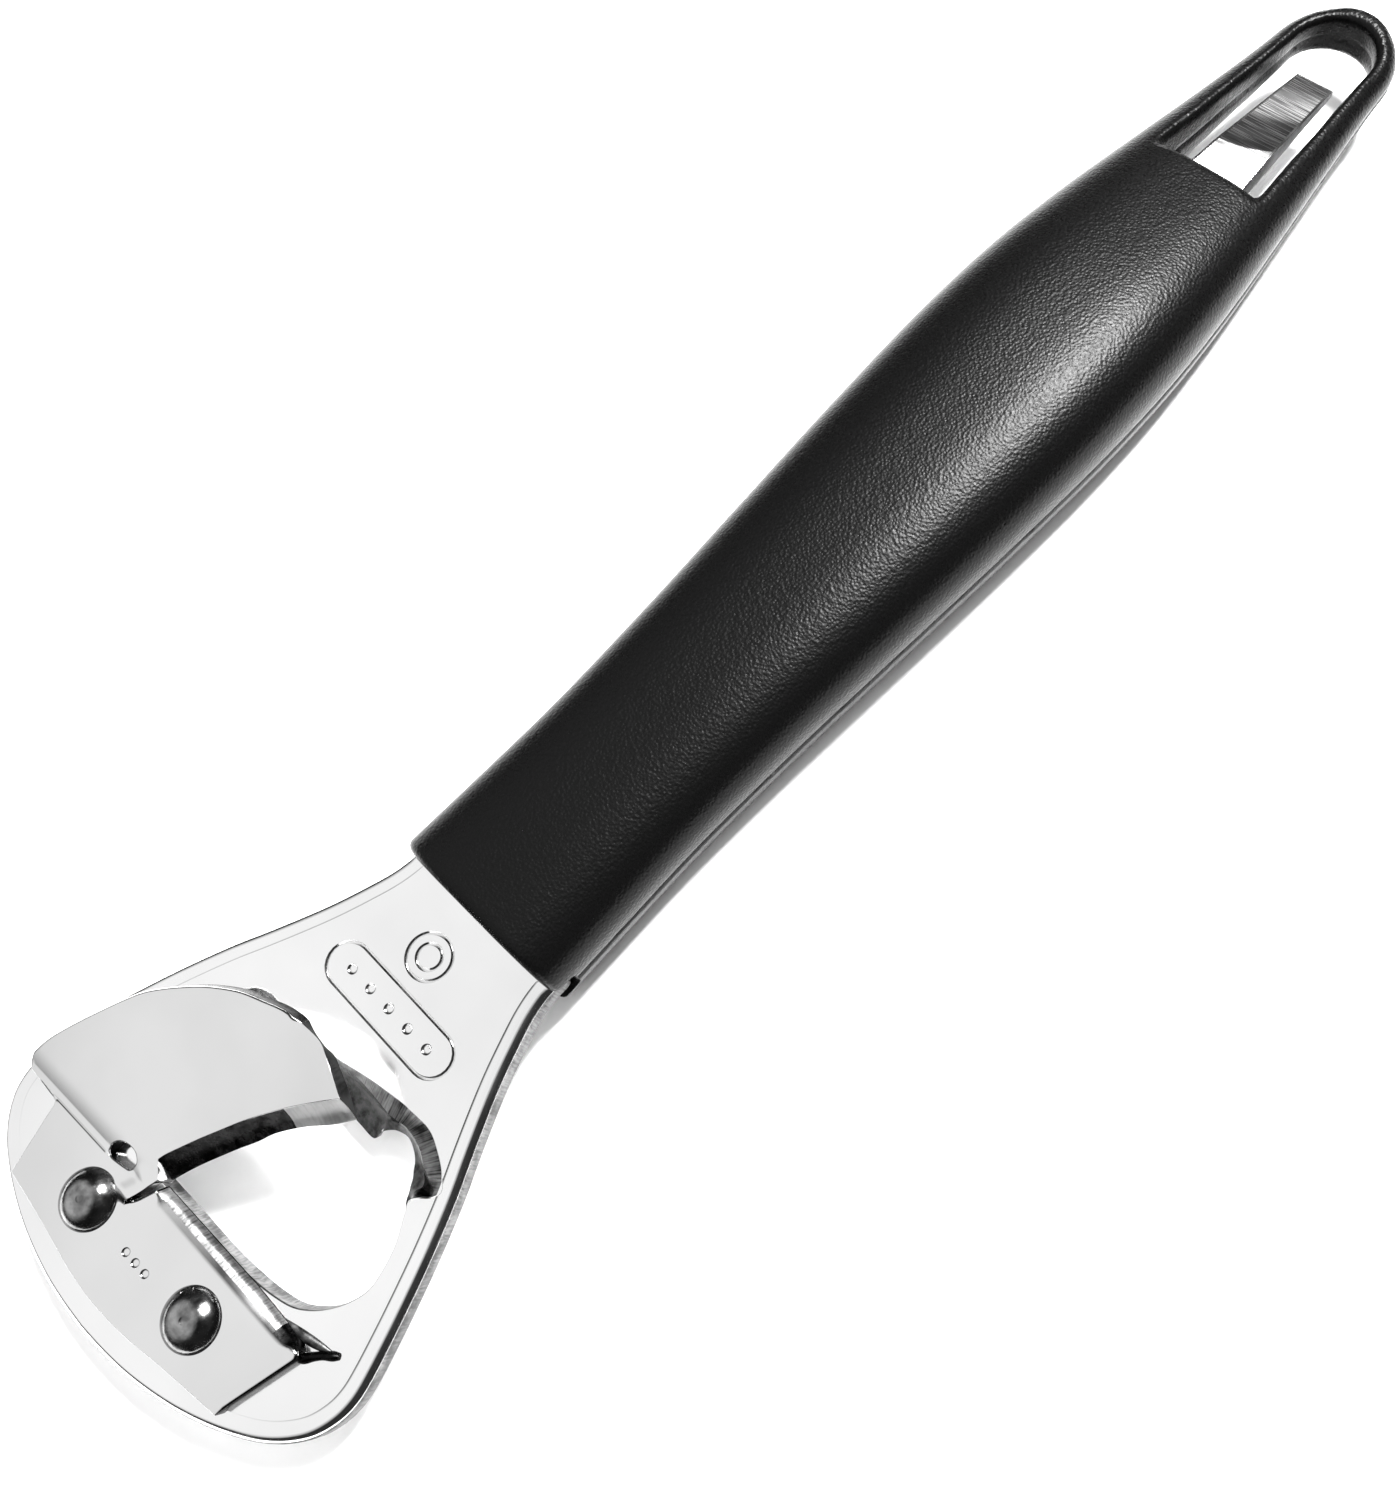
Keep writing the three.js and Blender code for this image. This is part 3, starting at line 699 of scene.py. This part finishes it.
def capsule(x, y, length, width):
    """A closed outline with round ends, long across the tool."""
    radius = width / 2
    reach = length / 2 - radius
    line = []
    for end in (1, -1):
        for i in range(13):
            angle = math.pi * i / 12
            line.append((x + end * radius * math.cos(angle), y + end * (reach + radius * math.sin(angle))))
        line += straight((x - end * radius, y + end * reach), (x - end * radius, y - end * reach), 1.0)[1:]
    return line


def build_plate(materials):
    outline = plate_outline()
    profiles = []
    for x, y in outline:
        size = 1 - 0.85 * between(x, -0.2, 1.6)
        roll = [(inset * size, depth * size) for inset, depth in DIE_ROLL]
        profiles.append(roll + [(0, PLATE_THICKNESS - 0.15), (0.12, PLATE_THICKNESS)])
    plate = Sheet("plate", plate_lift)
    plate.add_loop(edge_rings(outline, profiles), lambda k, i: SHEARED if k >= 6 else STEEL)
    rings, rows = opening_rings()

    def opening_material(k, i):
        """A ground band with the lip below it on the neck side, and a sheared wall elsewhere."""
        banded = math.dist(rows[i][0:2], rows[i][2:4]) > 0.12
        if not banded:
            # The black rings are painted shade: a thin line just below the top edge, the foot of wall and
            # lip, the line between band and lip, and the lip's upper part towards -Y.
            return (STEEL, SHADE_BLACK, SHEARED, SHEARED, SHEARED, SHEARED, SHADE_BLACK, SHADE_BLACK)[k]
        upper = SHADE_BLACK if rows[i][1] < LIP_SHADE_Y else LIP
        return (STEEL, STEEL, BAND, SHADE_BLACK, upper, LIP, SHEARED, SHADE_BLACK)[k]

    plate.add_loop(rings, opening_material)
    plate.add_groove(capsule(*NECK_MARK, *NECK_MARK_SIZE), MARK_HALF_WIDTH, MARK_DEPTH)
    for step in range(-2, 3):
        plate.add_dimple(NECK_MARK[0], NECK_MARK[1] + NECK_DOT_PITCH * step, 0.5, MARK_DEPTH)
    for radius in NECK_RING_RADII:
        plate.add_groove(circle(*NECK_RING, radius), MARK_HALF_WIDTH, MARK_DEPTH)
    along = np.arange(GRIND_START_X - 2, TONGUE_TIP[0] - 0.3, 0.6)
    tongue = [(x, y) for x in along for y in (-1.4, 0.0, 1.4)]
    plate.cap(0, tongue, 0.0, lambda x, y: TONGUE if x > HIDDEN_X else STEEL)
    plate.cap(-1, [], -PLATE_THICKNESS)
    piece = plate.finish(materials, sharp=34)
    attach(piece, "root")
    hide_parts("body_plate")


# ---- Cutter blade ----

# The blade's materials in build_opener's order, besides STEEL and SHADE_BLACK, whose numbers are the plate's.
ROLLED, BEVEL, END_FACE, BEVEL_TIP, UNDERSIDE = 1, 2, 3, 5, 6

# The blade and its strip are drawn flat, as (u, y): u runs from the bend line towards the handle.
BEND_X = -33.9
# Distance past the start of the bend, and the slope of the sheet there in degrees.
BEND_SLOPES = [(0, 1), (0.02, 2), (0.28, 28), (2.6, 19.0)]
STRIP_FAR_HALF = [(-7.5, 13.75), (-8.25, 8), (-8.95, 3.5), (-9.15, 0)]
STRIP_NEAR_U = 0.2
STRIP_HALF_WIDTH = 15.4
BLADE_OUTER = [
    (-0.7, 20.15), (0.15, 20.45), (0.9, 20.3), (2.2, 19.95), (3.7, 19.35), (5.8, 18.35), (7.85, 17.3),
    (9.8, 16.25), (11.7, 15.1), (13.3, 13.75), (14.75, 12.3), (16.05, 10.85), (17.25, 9.2), (18.25, 7.5),
    (19.0, 5.6), (19.7, 3.7), (20.0, 2.2),
]
# Top edge and foot of the wall at the blade's free end.
END_WALL = [
    (20.08, 1.5, 19.95, 1.75), (20.15, 0.2, 19.6, 0.75), (20.05, -0.9, 19.35, -0.6),
    (19.5, -2.0, 19.35, -1.8), (18.8, -3.3, 18.85, -3.05), (17.9, -4.9, 18.2, -4.4),
]
# Upper line of the bevel and the cutting edge below it, from the tip to the root.
BEVEL_LINES = [
    (17.85, -4.95, 16.9, -6.7), (16.6, -3.85, 15.1, -5.35), (14.4, -2.1, 13.2, -3.55),
    (12.0, -0.45, 10.9, -1.85), (10.3, 0.6, 9.35, -1.1), (8.45, 1.6, 7.5, -0.05), (6.6, 2.6, 5.7, 0.9),
    (4.7, 3.55, 3.9, 1.8), (3.25, 4.25, 2.3, 2.5), (2.5, 4.5, 1.15, 2.92),
]
ROOT_FACE = [(2.4, 4.47, 1.05, 2.9), (1.2, 3.35, 0.5, 3.02)]
SLIT_TOOTH_SIDE = [
    (1.1, 3.38, 0.4, 3.1), (0.1, 3.62, -0.1, 3.55), (-1.2, 3.97, -1.3, 3.95), (-2.1, 4.35, -2.1, 4.35),
]
SLIT_STRIP_SIDE = [(-2.3, 4.2), (-1.45, 3.66), (-0.5, 3.3), (0.2, 3.02)]
RELIEF_HOLE = [
    (-0.72, 8.35), (-0.5, 8.72), (0.05, 8.8), (0.55, 8.6), (0.95, 8.2), (1.25, 7.4), (1.2, 6.6), (0.85, 6.15),
    (0.45, 5.95), (-0.3, 6.1), (-0.48, 6.6), (-0.62, 7.3), (-0.72, 7.9),
]

BEVEL_SHADE_END_U = 12.9  # the bevel is painted near black from its root to here, as painted shade, and lighter past it, as painted light
DARK_PATCH = (-14.4, -12.2)  # on the rolled edge, in y; black there, as painted shade
STRIP_END_Y = -13.8  # on the -Y side of this the strip's edge is painted dark, as painted shade, almost from its top
STRIP_DOTS_U = -4.7
STRIP_DOT_PITCH = 1.25

# (share of the way from the top line to the foot line, depth) from the top face to the bottom face.
GROUND = [(0, 0), (0.03, 0.03), (0.22, 0.36), (0.45, 0.72), (0.7, 1.02), (0.92, 1.2), (1, 1.3), (1, 1.4)]
EDGE_SHAPES = {
    "sharp": [(0, 0), (0.5, 0.01), (0.8, 0.04), (1, 0.1), (1, 0.3), (1, 1.2), (1, 1.3), (1, 1.4)],
    "soft": [(0, 0), (0.35, 0.02), (0.68, 0.08), (0.9, 0.19), (1, 0.36), (1, 1.2), (1, 1.3), (1, 1.4)],
    "rolled": [(0, 0), (0.27, 0.03), (0.54, 0.12), (0.77, 0.29), (0.93, 0.5), (1, 0.72), (1, 1.3), (1, 1.4)],
    "wall": [(0, 0), (0.04, 0.03), (0.1, 0.09), (0.2, 0.2), (0.4, 0.5), (0.8, 1.1), (0.93, 1.3), (1, 1.4)],
    "root": GROUND,
    "bevel": GROUND,
}
EDGE_INSETS = {"sharp": 0.1, "soft": 0.35, "rolled": 1.3}
ROLL_START = 0.15  # the rolled edge's least inset, at the slit


def blade_edge():
    """The edge's rows, from the strip's corner at the slit and round.

    A row is top x, y, foot x, y, kind; without a top it is None, inset of the top, foot x, y, kind.
    """
    path = []

    def trim(points, kind):
        path.extend((None, EDGE_INSETS[kind], p[0], p[1], kind) for p in points)

    def ruled(rows, kind, step=0.35):
        path.extend((*row, kind) for row in spline(rows, step))

    half = STRIP_HALF_WIDTH
    near = STRIP_NEAR_U
    corner_y = SLIT_STRIP_SIDE[-1][1]
    for _, y in straight((near, corner_y - 0.15), (near, -half + 0.8), 0.3):
        full = between(corner_y - y, 0, 1.4) * between(y + half, 0.3, 2.2)
        inset = ROLL_START + (EDGE_INSETS["rolled"] - ROLL_START) * full
        path.append((None, inset, near, y, "rolled"))
    trim([(near - 0.05, -half + 0.45), (near - 0.25, -half + 0.15), (near - 0.6, -half)], "soft")
    far_u, far_y = STRIP_FAR_HALF[0]
    trim(straight((near - 0.9, -half + 0.04), (far_u + 0.3, -far_y - 0.06), 0.5), "soft")
    far = [(u, -y) for u, y in STRIP_FAR_HALF] + STRIP_FAR_HALF[-2::-1]
    trim(spline(far, 0.5), "sharp")
    trim(straight((far_u + 0.3, far_y + 0.06), (-1.7, half), 0.5), "sharp")
    trim([(-1.45, half + 0.05), (-1.2, half + 0.3), (-1.12, half + 0.8)], "sharp")
    trim(straight((-1.1, half + 1.2), (-0.9, BLADE_OUTER[0][1] - 0.3), 0.5), "sharp")
    trim(spline(BLADE_OUTER, 0.4)[:-1], "soft")
    ruled(END_WALL, "wall")
    ruled(BEVEL_LINES, "bevel")
    ruled(ROOT_FACE, "root", 0.5)
    ruled(SLIT_TOOTH_SIDE, "wall", 0.25)
    trim(spline(SLIT_STRIP_SIDE, 0.25), "sharp")
    return path


def blade_rings(path):
    foot = [(row[2], row[3]) for row in path]
    normals = outward(foot)
    shapes = np.array([EDGE_SHAPES[row[4]] for row in path], float)
    blended = shapes + np.roll(shapes, 1, 0) + np.roll(shapes, -1, 0)
    trimmed = np.array([row[0] is None for row in path])
    blended = np.where(trimmed[:, None, None], blended / 3, shapes)
    tops = []
    for row, normal in zip(path, normals):
        if row[0] is None:
            tops.append((row[2] - normal[0] * row[1], row[3] - normal[1] * row[1]))
        else:
            tops.append((row[0], row[1]))
    rings = []
    for k in range(len(shapes[0])):
        ring = []
        for top, low, shape in zip(tops, foot, blended):
            share, depth = shape[k]
            ring.append((top[0] + (low[0] - top[0]) * share, top[1] + (low[1] - top[1]) * share, -depth))
        rings.append(ring)
    return rings


RIM_GUIDE_RISE = 0.6
SCORE_DEPTH = 0.07
SCORE_HALF_WIDTH = 0.08


def slit_line(u):
    """The middle of the slit, as y."""
    return np.interp(u, [-2.3, -1.4, -0.45, 0.5, 1.2], [4.28, 3.8, 3.46, 3.2, 3.0])


def rim_guide_height(u, y):
    """The rise of the tooth beside the slit: highest along the slit, fading away from it."""
    away = y - slit_line(u)
    if away < 0 and (u > -2.25 or away < -1.5):
        return 0.0
    rise = between(u, -2.7, -1.5) * (1 - 0.85 * between(u, -0.1, 1.5)) * (1 - between(u, 1.2, 3.6))
    return RIM_GUIDE_RISE * rise * (1 - between(abs(away), 0.2, 2.9))


def score_line(y):
    """The scored line at the foot of the bend, from the relief hole outwards."""
    return -0.93 + 0.02 * (15 - y)


def bend_start(y):
    """Where the bend begins: slightly askew to the strip."""
    return -0.7 + 0.022 * (20 - y)


# How far the sheet has turned, run on and risen at each distance along it past the start of the bend.
BEND_STEP = 0.02
BEND_ALONG = np.arange(0, 24, BEND_STEP)
BEND_TURN = np.radians(np.interp(BEND_ALONG, [d for d, _ in BEND_SLOPES], [a for _, a in BEND_SLOPES]))
BEND_RUN = np.concatenate([[0], np.cumsum(np.cos(BEND_TURN))[:-1] * BEND_STEP])
BEND_RISE = np.concatenate([[0], np.cumsum(np.sin(BEND_TURN))[:-1] * BEND_STEP])


def blade_lift(u, y, z):
    """Bends the flat sheet up past the bend line, adds the tooth and the scored line, and skews the whole."""
    start = bend_start(y)
    past = max(u - start, 0.0)
    turn, run, rise = (np.interp(past, BEND_ALONG, table) for table in (BEND_TURN, BEND_RUN, BEND_RISE))
    off_score = (u - score_line(y)) / SCORE_HALF_WIDTH
    groove = SCORE_DEPTH * math.exp(-off_score ** 2) * between(y, 8.0, 8.6) if z == 0 else 0.0
    x = BEND_X + min(u, start) + run - z * math.sin(turn)
    height = SHEET_THICKNESS + rise + z * math.cos(turn) + rim_guide_height(u, y) - groove
    return (x - HEAD_SKEW * y, y, height)


def build_blade(materials):
    path = blade_edge()
    blade = Sheet("blade", blade_lift)

    def edge_material(k, i):
        u, y, kind = path[i][2:5]
        if kind == "bevel":
            ground = BEVEL if u < BEVEL_SHADE_END_U else BEVEL_TIP
            return ground if 1 <= k <= 5 else STEEL
        if kind == "rolled":
            # The rolled edge's black patch and its black foot are painted shade.
            if DARK_PATCH[0] < y < DARK_PATCH[1]:
                return SHADE_BLACK if k >= 2 else STEEL
            return (STEEL, STEEL, STEEL, ROLLED, ROLLED, ROLLED, SHADE_BLACK)[k]
        if kind in ("wall", "root"):
            # Past u = 5 the end face takes the material that is painted near black as shade.
            return END_FACE if u > 5 and k >= 1 else STEEL
        # The strip's walls below their top rounding are black, as painted shade.
        dark_from = 1 if y < STRIP_END_Y and u < 0.15 else 3
        return SHADE_BLACK if k >= dark_from else STEEL

    blade.add_loop(blade_rings(path), edge_material)
    hole = [(p[0], p[1]) for p in spline(RELIEF_HOLE, 0.15, closed=True)]
    rounding = [(-0.14, 0), (-0.06, 0.02), (-0.02, 0.06), (0, 0.14), (0, 0.3), (0, 1.2), (0, 1.3), (0, 1.4)]
    # The hole's wall below its rounding is black, as painted shade.
    blade.add_loop(edge_rings(hole, [rounding] * len(hole)), lambda k, i: SHADE_BLACK if k > 2 else STEEL)
    for step in (-1, 0, 1):
        blade.add_dimple(STRIP_DOTS_U, -0.1 + STRIP_DOT_PITCH * step, 0.4, 0.12)
    tooth = [(u, y) for u in np.arange(-3.4, 4.4, 0.2) for y in np.arange(2.0, 8.8, 0.2)]
    across = (-0.28, -0.14, -0.08, -0.04, 0, 0.04, 0.08, 0.14)
    past = (0.02, 0.1, 0.18, 0.26, 0.34, 0.5, 0.8, 1.2, 1.7, 2.2, 2.6)
    bend = []
    for y in np.arange(9.0, 20.0, 0.55):
        bend += [(score_line(y) + du, y) for du in across]
        bend += [(bend_start(y) + du, y) for du in past]
    blade.cap(0, blade.free_places(tooth + bend, 0.07), 0.0)
    under = [(u, y) for u in np.arange(-0.8, 2.4, 0.3) for y in np.arange(3.8, 19.8, 0.8)]
    blade.cap(-1, blade.free_places(under, 0.3), -SHEET_THICKNESS, lambda u, y: UNDERSIDE)
    piece = blade.finish(materials, sharp=50)
    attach(piece, "root")
    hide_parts("cutter_blade")


# A small pressed-up catch at the strip's near corner and the low rib beside it, as (x, y, half width).
CATCH = [
    (-33.9, -14.9, 0.3), (-33.4, -15.4, 0.45), (-32.8, -15.85, 0.38), (-32.2, -16.35, 0.35),
    (-31.6, -17.0, 0.4), (-31.25, -17.4, 0.28),
]
RIB = [
    (-32.9, -11.6, 0.1), (-32.6, -13.2, 0.35), (-32.2, -14.8, 0.42), (-31.8, -16.0, 0.3),
    (-31.5, -16.8, 0.12),
]
RIDGE_FULL_RADIUS = 0.6  # the half width that has the full height


def build_ridge(name, spine, height, material):
    """A rounded ridge, half sunk in the plate, that is higher where it is wider."""
    line = spline(spine, 0.2)
    sides = 14
    points = []
    for i, (x, y, radius) in enumerate(line):
        ahead = line[min(i + 1, len(line) - 1)][:2] - line[max(i - 1, 0)][:2]
        ahead /= np.linalg.norm(ahead)
        for k in range(sides):
            turn = 2 * math.pi * k / sides
            out = radius * math.cos(turn)
            up = height * math.sin(turn) * radius / RIDGE_FULL_RADIUS
            points.append(at(x - ahead[1] * out, y + ahead[0] * out, up))
    faces = tube_faces(len(line), sides)
    faces.append(tuple(range(sides)))
    faces.append(tuple(range(len(points) - sides, len(points))))
    piece = make_piece(name, points, faces, [material], 60)
    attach(piece, "root")


# ---- Rivets ----

RIVET_X = -38.2
RIVET_HALF_SPACING = 6.9
# (radius, height) from the crown's centre, over the dome, down the shank to the flat tail.
RIVET_PROFILE = [
    (0, 1.2), (0.16, 1.21), (0.3, 1.27), (0.42, 1.31), (0.7, 1.3), (1.1, 1.22), (1.45, 1.09), (1.8, 0.9),
    (2.1, 0.68), (2.35, 0.44), (2.52, 0.22), (2.6, 0.06), (2.62, 0), (1.5, -0.01), (1.5, -3.68),
    (2.3, -3.7), (2.3, -4.1), (2.1, -4.35), (1.5, -4.4), (0, -4.4),
]


def build_rivet(side, material):
    y = side * RIVET_HALF_SPACING
    x = RIVET_X - HEAD_SKEW * y
    profile = [(r, z + SHEET_THICKNESS) for r, z in RIVET_PROFILE]
    sides = 72
    points = [at(*p, z) for r, z in profile for p in circle(x, y, r, sides)]
    name = "left" if side > 0 else "right"
    piece = make_piece("rivet_" + name + "_head", points, tube_faces(len(profile), sides), [material], 45)
    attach(piece, "root")
    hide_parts("rivet_" + name)


# ---- Handle ----

# Distance from the front, half width, height above and depth below the parting line.
HANDLE_STATIONS = [
    (0, 9.65, 6.0, 5.6), (9, 9.4, 6.05, 5.7), (18, 9.25, 6.1, 5.75), (30, 9.6, 6.3, 5.75),
    (42, 10.25, 6.5, 5.75), (57, 11.05, 6.75, 5.75), (70, 11.45, 6.8, 5.75), (80, 11.2, 6.4, 5.7),
    (89, 10.35, 5.5, 5.2), (98, 9.1, 4.4, 3.9), (107, 7.75, 3.4, 2.9), (116, 6.5, 2.8, 2.2),
    (123.8, 5.9, 2.5, 1.9),
]
SECTION_POWER = 3.0  # 2 would be an ellipse
SEAM_DEPTH = 0.2
SEAM_HALF_WIDTH = 0.2
LOOP_ROUNDING = 6.4
LOOP_HOLE_NEAR = 97.8
LOOP_HOLE_FAR = 121.9
LOOP_ARCH_START = 117.3
# Half widths at each x: of the loop's hole, and of the slot for the neck, the tang and the tongue.
LOOP_HOLE_HALF = ([97, 98.6, 104, 108.6, 112, 116, LOOP_ARCH_START], [5.3, 5.5, 5.0, 4.7, 4.4, 4.15, 4.1])
TANG_SLOT_HALF = ([0, 4.7, TANG_END_X, TONGUE_ROOT[0], 101], [9.2, 6.8, 6.8, 3.5, 3.2])
TANG_GAP = 0.12
GRID = 0.42  # cell size of the net that the handle's surface is made from


def smooth_max(a, b, radius):
    """The larger of two distances, rounded where they meet."""
    h = np.clip(0.5 + 0.5 * (a - b) / radius, 0, 1)
    return b + (a - b) * h + radius * h * (1 - h)


def handle_distance(x, y, z):
    """Roughly the distance from the handle's surface, negative inside. z is from the parting line."""
    fine = np.array(spline(HANDLE_STATIONS, 1.0))
    half, high, deep = (np.interp(x, fine[:, 0], fine[:, column]) for column in (1, 2, 3))
    end = np.clip((x - (HANDLE_LENGTH - LOOP_ROUNDING)) / LOOP_ROUNDING, 0, 0.999)
    half = half * (1 - end ** 2.5) ** 0.46
    thick = np.where(z > 0, high, deep)
    ratio = (np.abs(y) / half) ** SECTION_POWER + (np.abs(z) / thick) ** SECTION_POWER
    body = (ratio ** (1 / SECTION_POWER) - 1) * np.minimum(half, thick)
    body = smooth_max(body, x - HANDLE_LENGTH, 0.8)
    body = smooth_max(body, -x, 0.9)
    hole_half = np.interp(x, *LOOP_HOLE_HALF)
    tail = np.maximum((x - LOOP_ARCH_START) / (LOOP_HOLE_FAR - LOOP_ARCH_START), 0)
    arch = (np.sqrt(tail ** 2.2 + (y / hole_half) ** 2) - 1) * hole_half
    hole = np.maximum(arch, LOOP_HOLE_NEAR - x)
    body = smooth_max(body, -hole, 0.9)
    body = smooth_max(body, (REST_Z - PARTING_Z) - z, 0.25)
    return body + SEAM_DEPTH * np.exp(-(z / SEAM_HALF_WIDTH) ** 2)


def tang_space(x, y, z):
    """The slot round the neck at the front and the tunnel that the tongue comes out of."""
    tall = np.abs(z) - (PLATE_THICKNESS / 2 + TANG_GAP)
    front = np.maximum(np.maximum(tall, x - (NECK_END_X + 0.3)), -1 - x)
    wide = np.interp(x, *TANG_SLOT_HALF)
    tunnel = np.maximum(np.maximum(tall, np.abs(y) - wide), x - LOOP_HOLE_NEAR - 1.5)
    return np.minimum(front, tunnel)


def build_handle(material):
    def distance(x, y, z):
        return np.maximum(handle_distance(x, y, z), -tang_space(x, y, z))

    xs = np.arange(-0.8, HANDLE_LENGTH + 0.9, GRID)
    ys = np.arange(-12.3, 12.4, GRID)
    # The rows start half a cell off, which puts a row of points along the parting line.
    zs = np.arange(-15.5 * GRID, 7.8, GRID)
    x, y, z = np.meshgrid(xs, ys, zs, indexing="ij")
    points, faces = surface_net(distance(x, y, z), xs, ys, zs)
    points = settle(points, distance, 6)
    placed = [at(p[0], p[1], p[2] + PARTING_Z) for p in points]
    piece = make_piece("grip", placed, faces, [material], 60)
    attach(piece, "root")
    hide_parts("handle")


def surface_net(values, xs, ys, zs):
    """A quad mesh of the zero surface: one point in each cell that the surface passes through."""
    inside_it = values < 0
    corners = np.zeros([n - 1 for n in values.shape], int)
    for i in (0, 1):
        for j in (0, 1):
            for k in (0, 1):
                corners += inside_it[i:i + corners.shape[0], j:j + corners.shape[1], k:k + corners.shape[2]]
    mixed = (corners > 0) & (corners < 8)
    number = np.full(corners.shape, -1)
    number[mixed] = np.arange(mixed.sum())
    cells = np.argwhere(mixed)
    total = np.zeros((len(cells), 3))
    count = np.zeros(len(cells))
    for axis in range(3):
        step = np.eye(3, dtype=int)[axis]
        others = [a for a in range(3) if a != axis]
        for first in (0, 1):
            for second in (0, 1):
                start = cells.copy()
                start[:, others[0]] += first
                start[:, others[1]] += second
                low = values[tuple(start.T)]
                high = values[tuple((start + step).T)]
                cross = (low < 0) != (high < 0)
                share = np.where(cross, low / np.where(cross, low - high, 1), 0)
                place = start + share[:, None] * step
                total += np.where(cross[:, None], place, 0)
                count += cross
    spot = total / count[:, None]
    points = np.array([xs[0], ys[0], zs[0]]) + spot * GRID
    faces = []
    for axis in range(3):
        step = np.eye(3, dtype=int)[axis]
        u, v = np.eye(3, dtype=int)[(axis + 1) % 3], np.eye(3, dtype=int)[(axis + 2) % 3]
        low = inside_it[tuple(slice(0, n - s) for n, s in zip(inside_it.shape, step))]
        high = inside_it[tuple(slice(s, None) for s in step)]
        for edge in np.argwhere(low != high):
            ring = [number[tuple(cell)] for cell in (edge - u - v, edge - v, edge, edge - u)]
            faces.append(ring if inside_it[tuple(edge)] else ring[::-1])
    return points, faces


def settle(points, distance, rounds):
    """Moves each point onto the surface along the slope of the distance."""
    reach = 0.02
    for _ in range(rounds):
        here = distance(*points.T)
        sides = [(distance(*(points + step).T), distance(*(points - step).T)) for step in reach * np.eye(3)]
        slope = np.stack([(ahead - behind) / (2 * reach) for ahead, behind in sides], 1)
        steepness = np.maximum(np.sum(slope ** 2, 1), 0.2)
        move = -(here / steepness)[:, None] * slope
        points = points + np.clip(move, -0.15, 0.15)
    return points


# ---- The opener ----

def build_opener():
    steel = polished_steel("polished_steel", (0.82, 0.93))
    # a darker copy of the same polished steel for the blade: painted shade
    blade_steel = polished_steel("blade_steel", (0.64, 0.76))
    sheared = lined_steel("sheared_steel", (0.07, 0.2), (0.4, 0.55), metallic=0.1)
    rolled = lined_steel("rolled_edge", (0.07, 0.24), (0.35, 0.5))
    band = lined_steel("ground_band", (0.01, 0.2), (0.25, 0.45), 6, 0.8)
    # the lip's mottling is its own; its darkness is painted shade of the concave lip
    lip = mottled_steel("pressed_lip_painted_shade", (0.03, 0.11), (0.3, 0.5), 1400)
    # near-black steel: painted shade and painted dark reflection on edges, end faces, hole walls and the
    # catch
    black = mottled_steel("black_painted_shade", (0.004, 0.012), (0.2, 0.35), 900)
    # the ground bevel's near-black tone is painted shade; the lighter part towards the tip is painted light
    bevel = mottled_steel("ground_bevel_painted_shade", (0.002, 0.045), (0.15, 0.35), 1100)
    underside = mottled_steel("satin_underside", (0.75, 0.85), (0.5, 0.6), 300)
    bevel_tip = lined_steel("bevel_tip_painted_light", (0.34, 0.46), (0.3, 0.4), 3, 0.2)
    # the blade's end face: near black, as painted shade, with grinding lines
    end_wall_painted_shade = lined_steel("end_wall_painted_shade", (0.0003, 0.012), (0.6, 0.8), 4, 0.3, metallic=0.0)
    build_plate([steel, sheared, band, lip, black, ground_tongue()])
    build_blade([blade_steel, rolled, bevel, end_wall_painted_shade, black, bevel_tip, underside])
    # the catch's black is painted dark reflection and the rib's dark tone is painted shade
    build_ridge("catch", CATCH, 0.75, black)
    build_ridge("rib", RIB, 0.4, lip)
    rivets = rivet_steel()
    for side in (1, -1):
        build_rivet(side, rivets)
    build_handle(black_plastic())


add_stage()
build_opener()
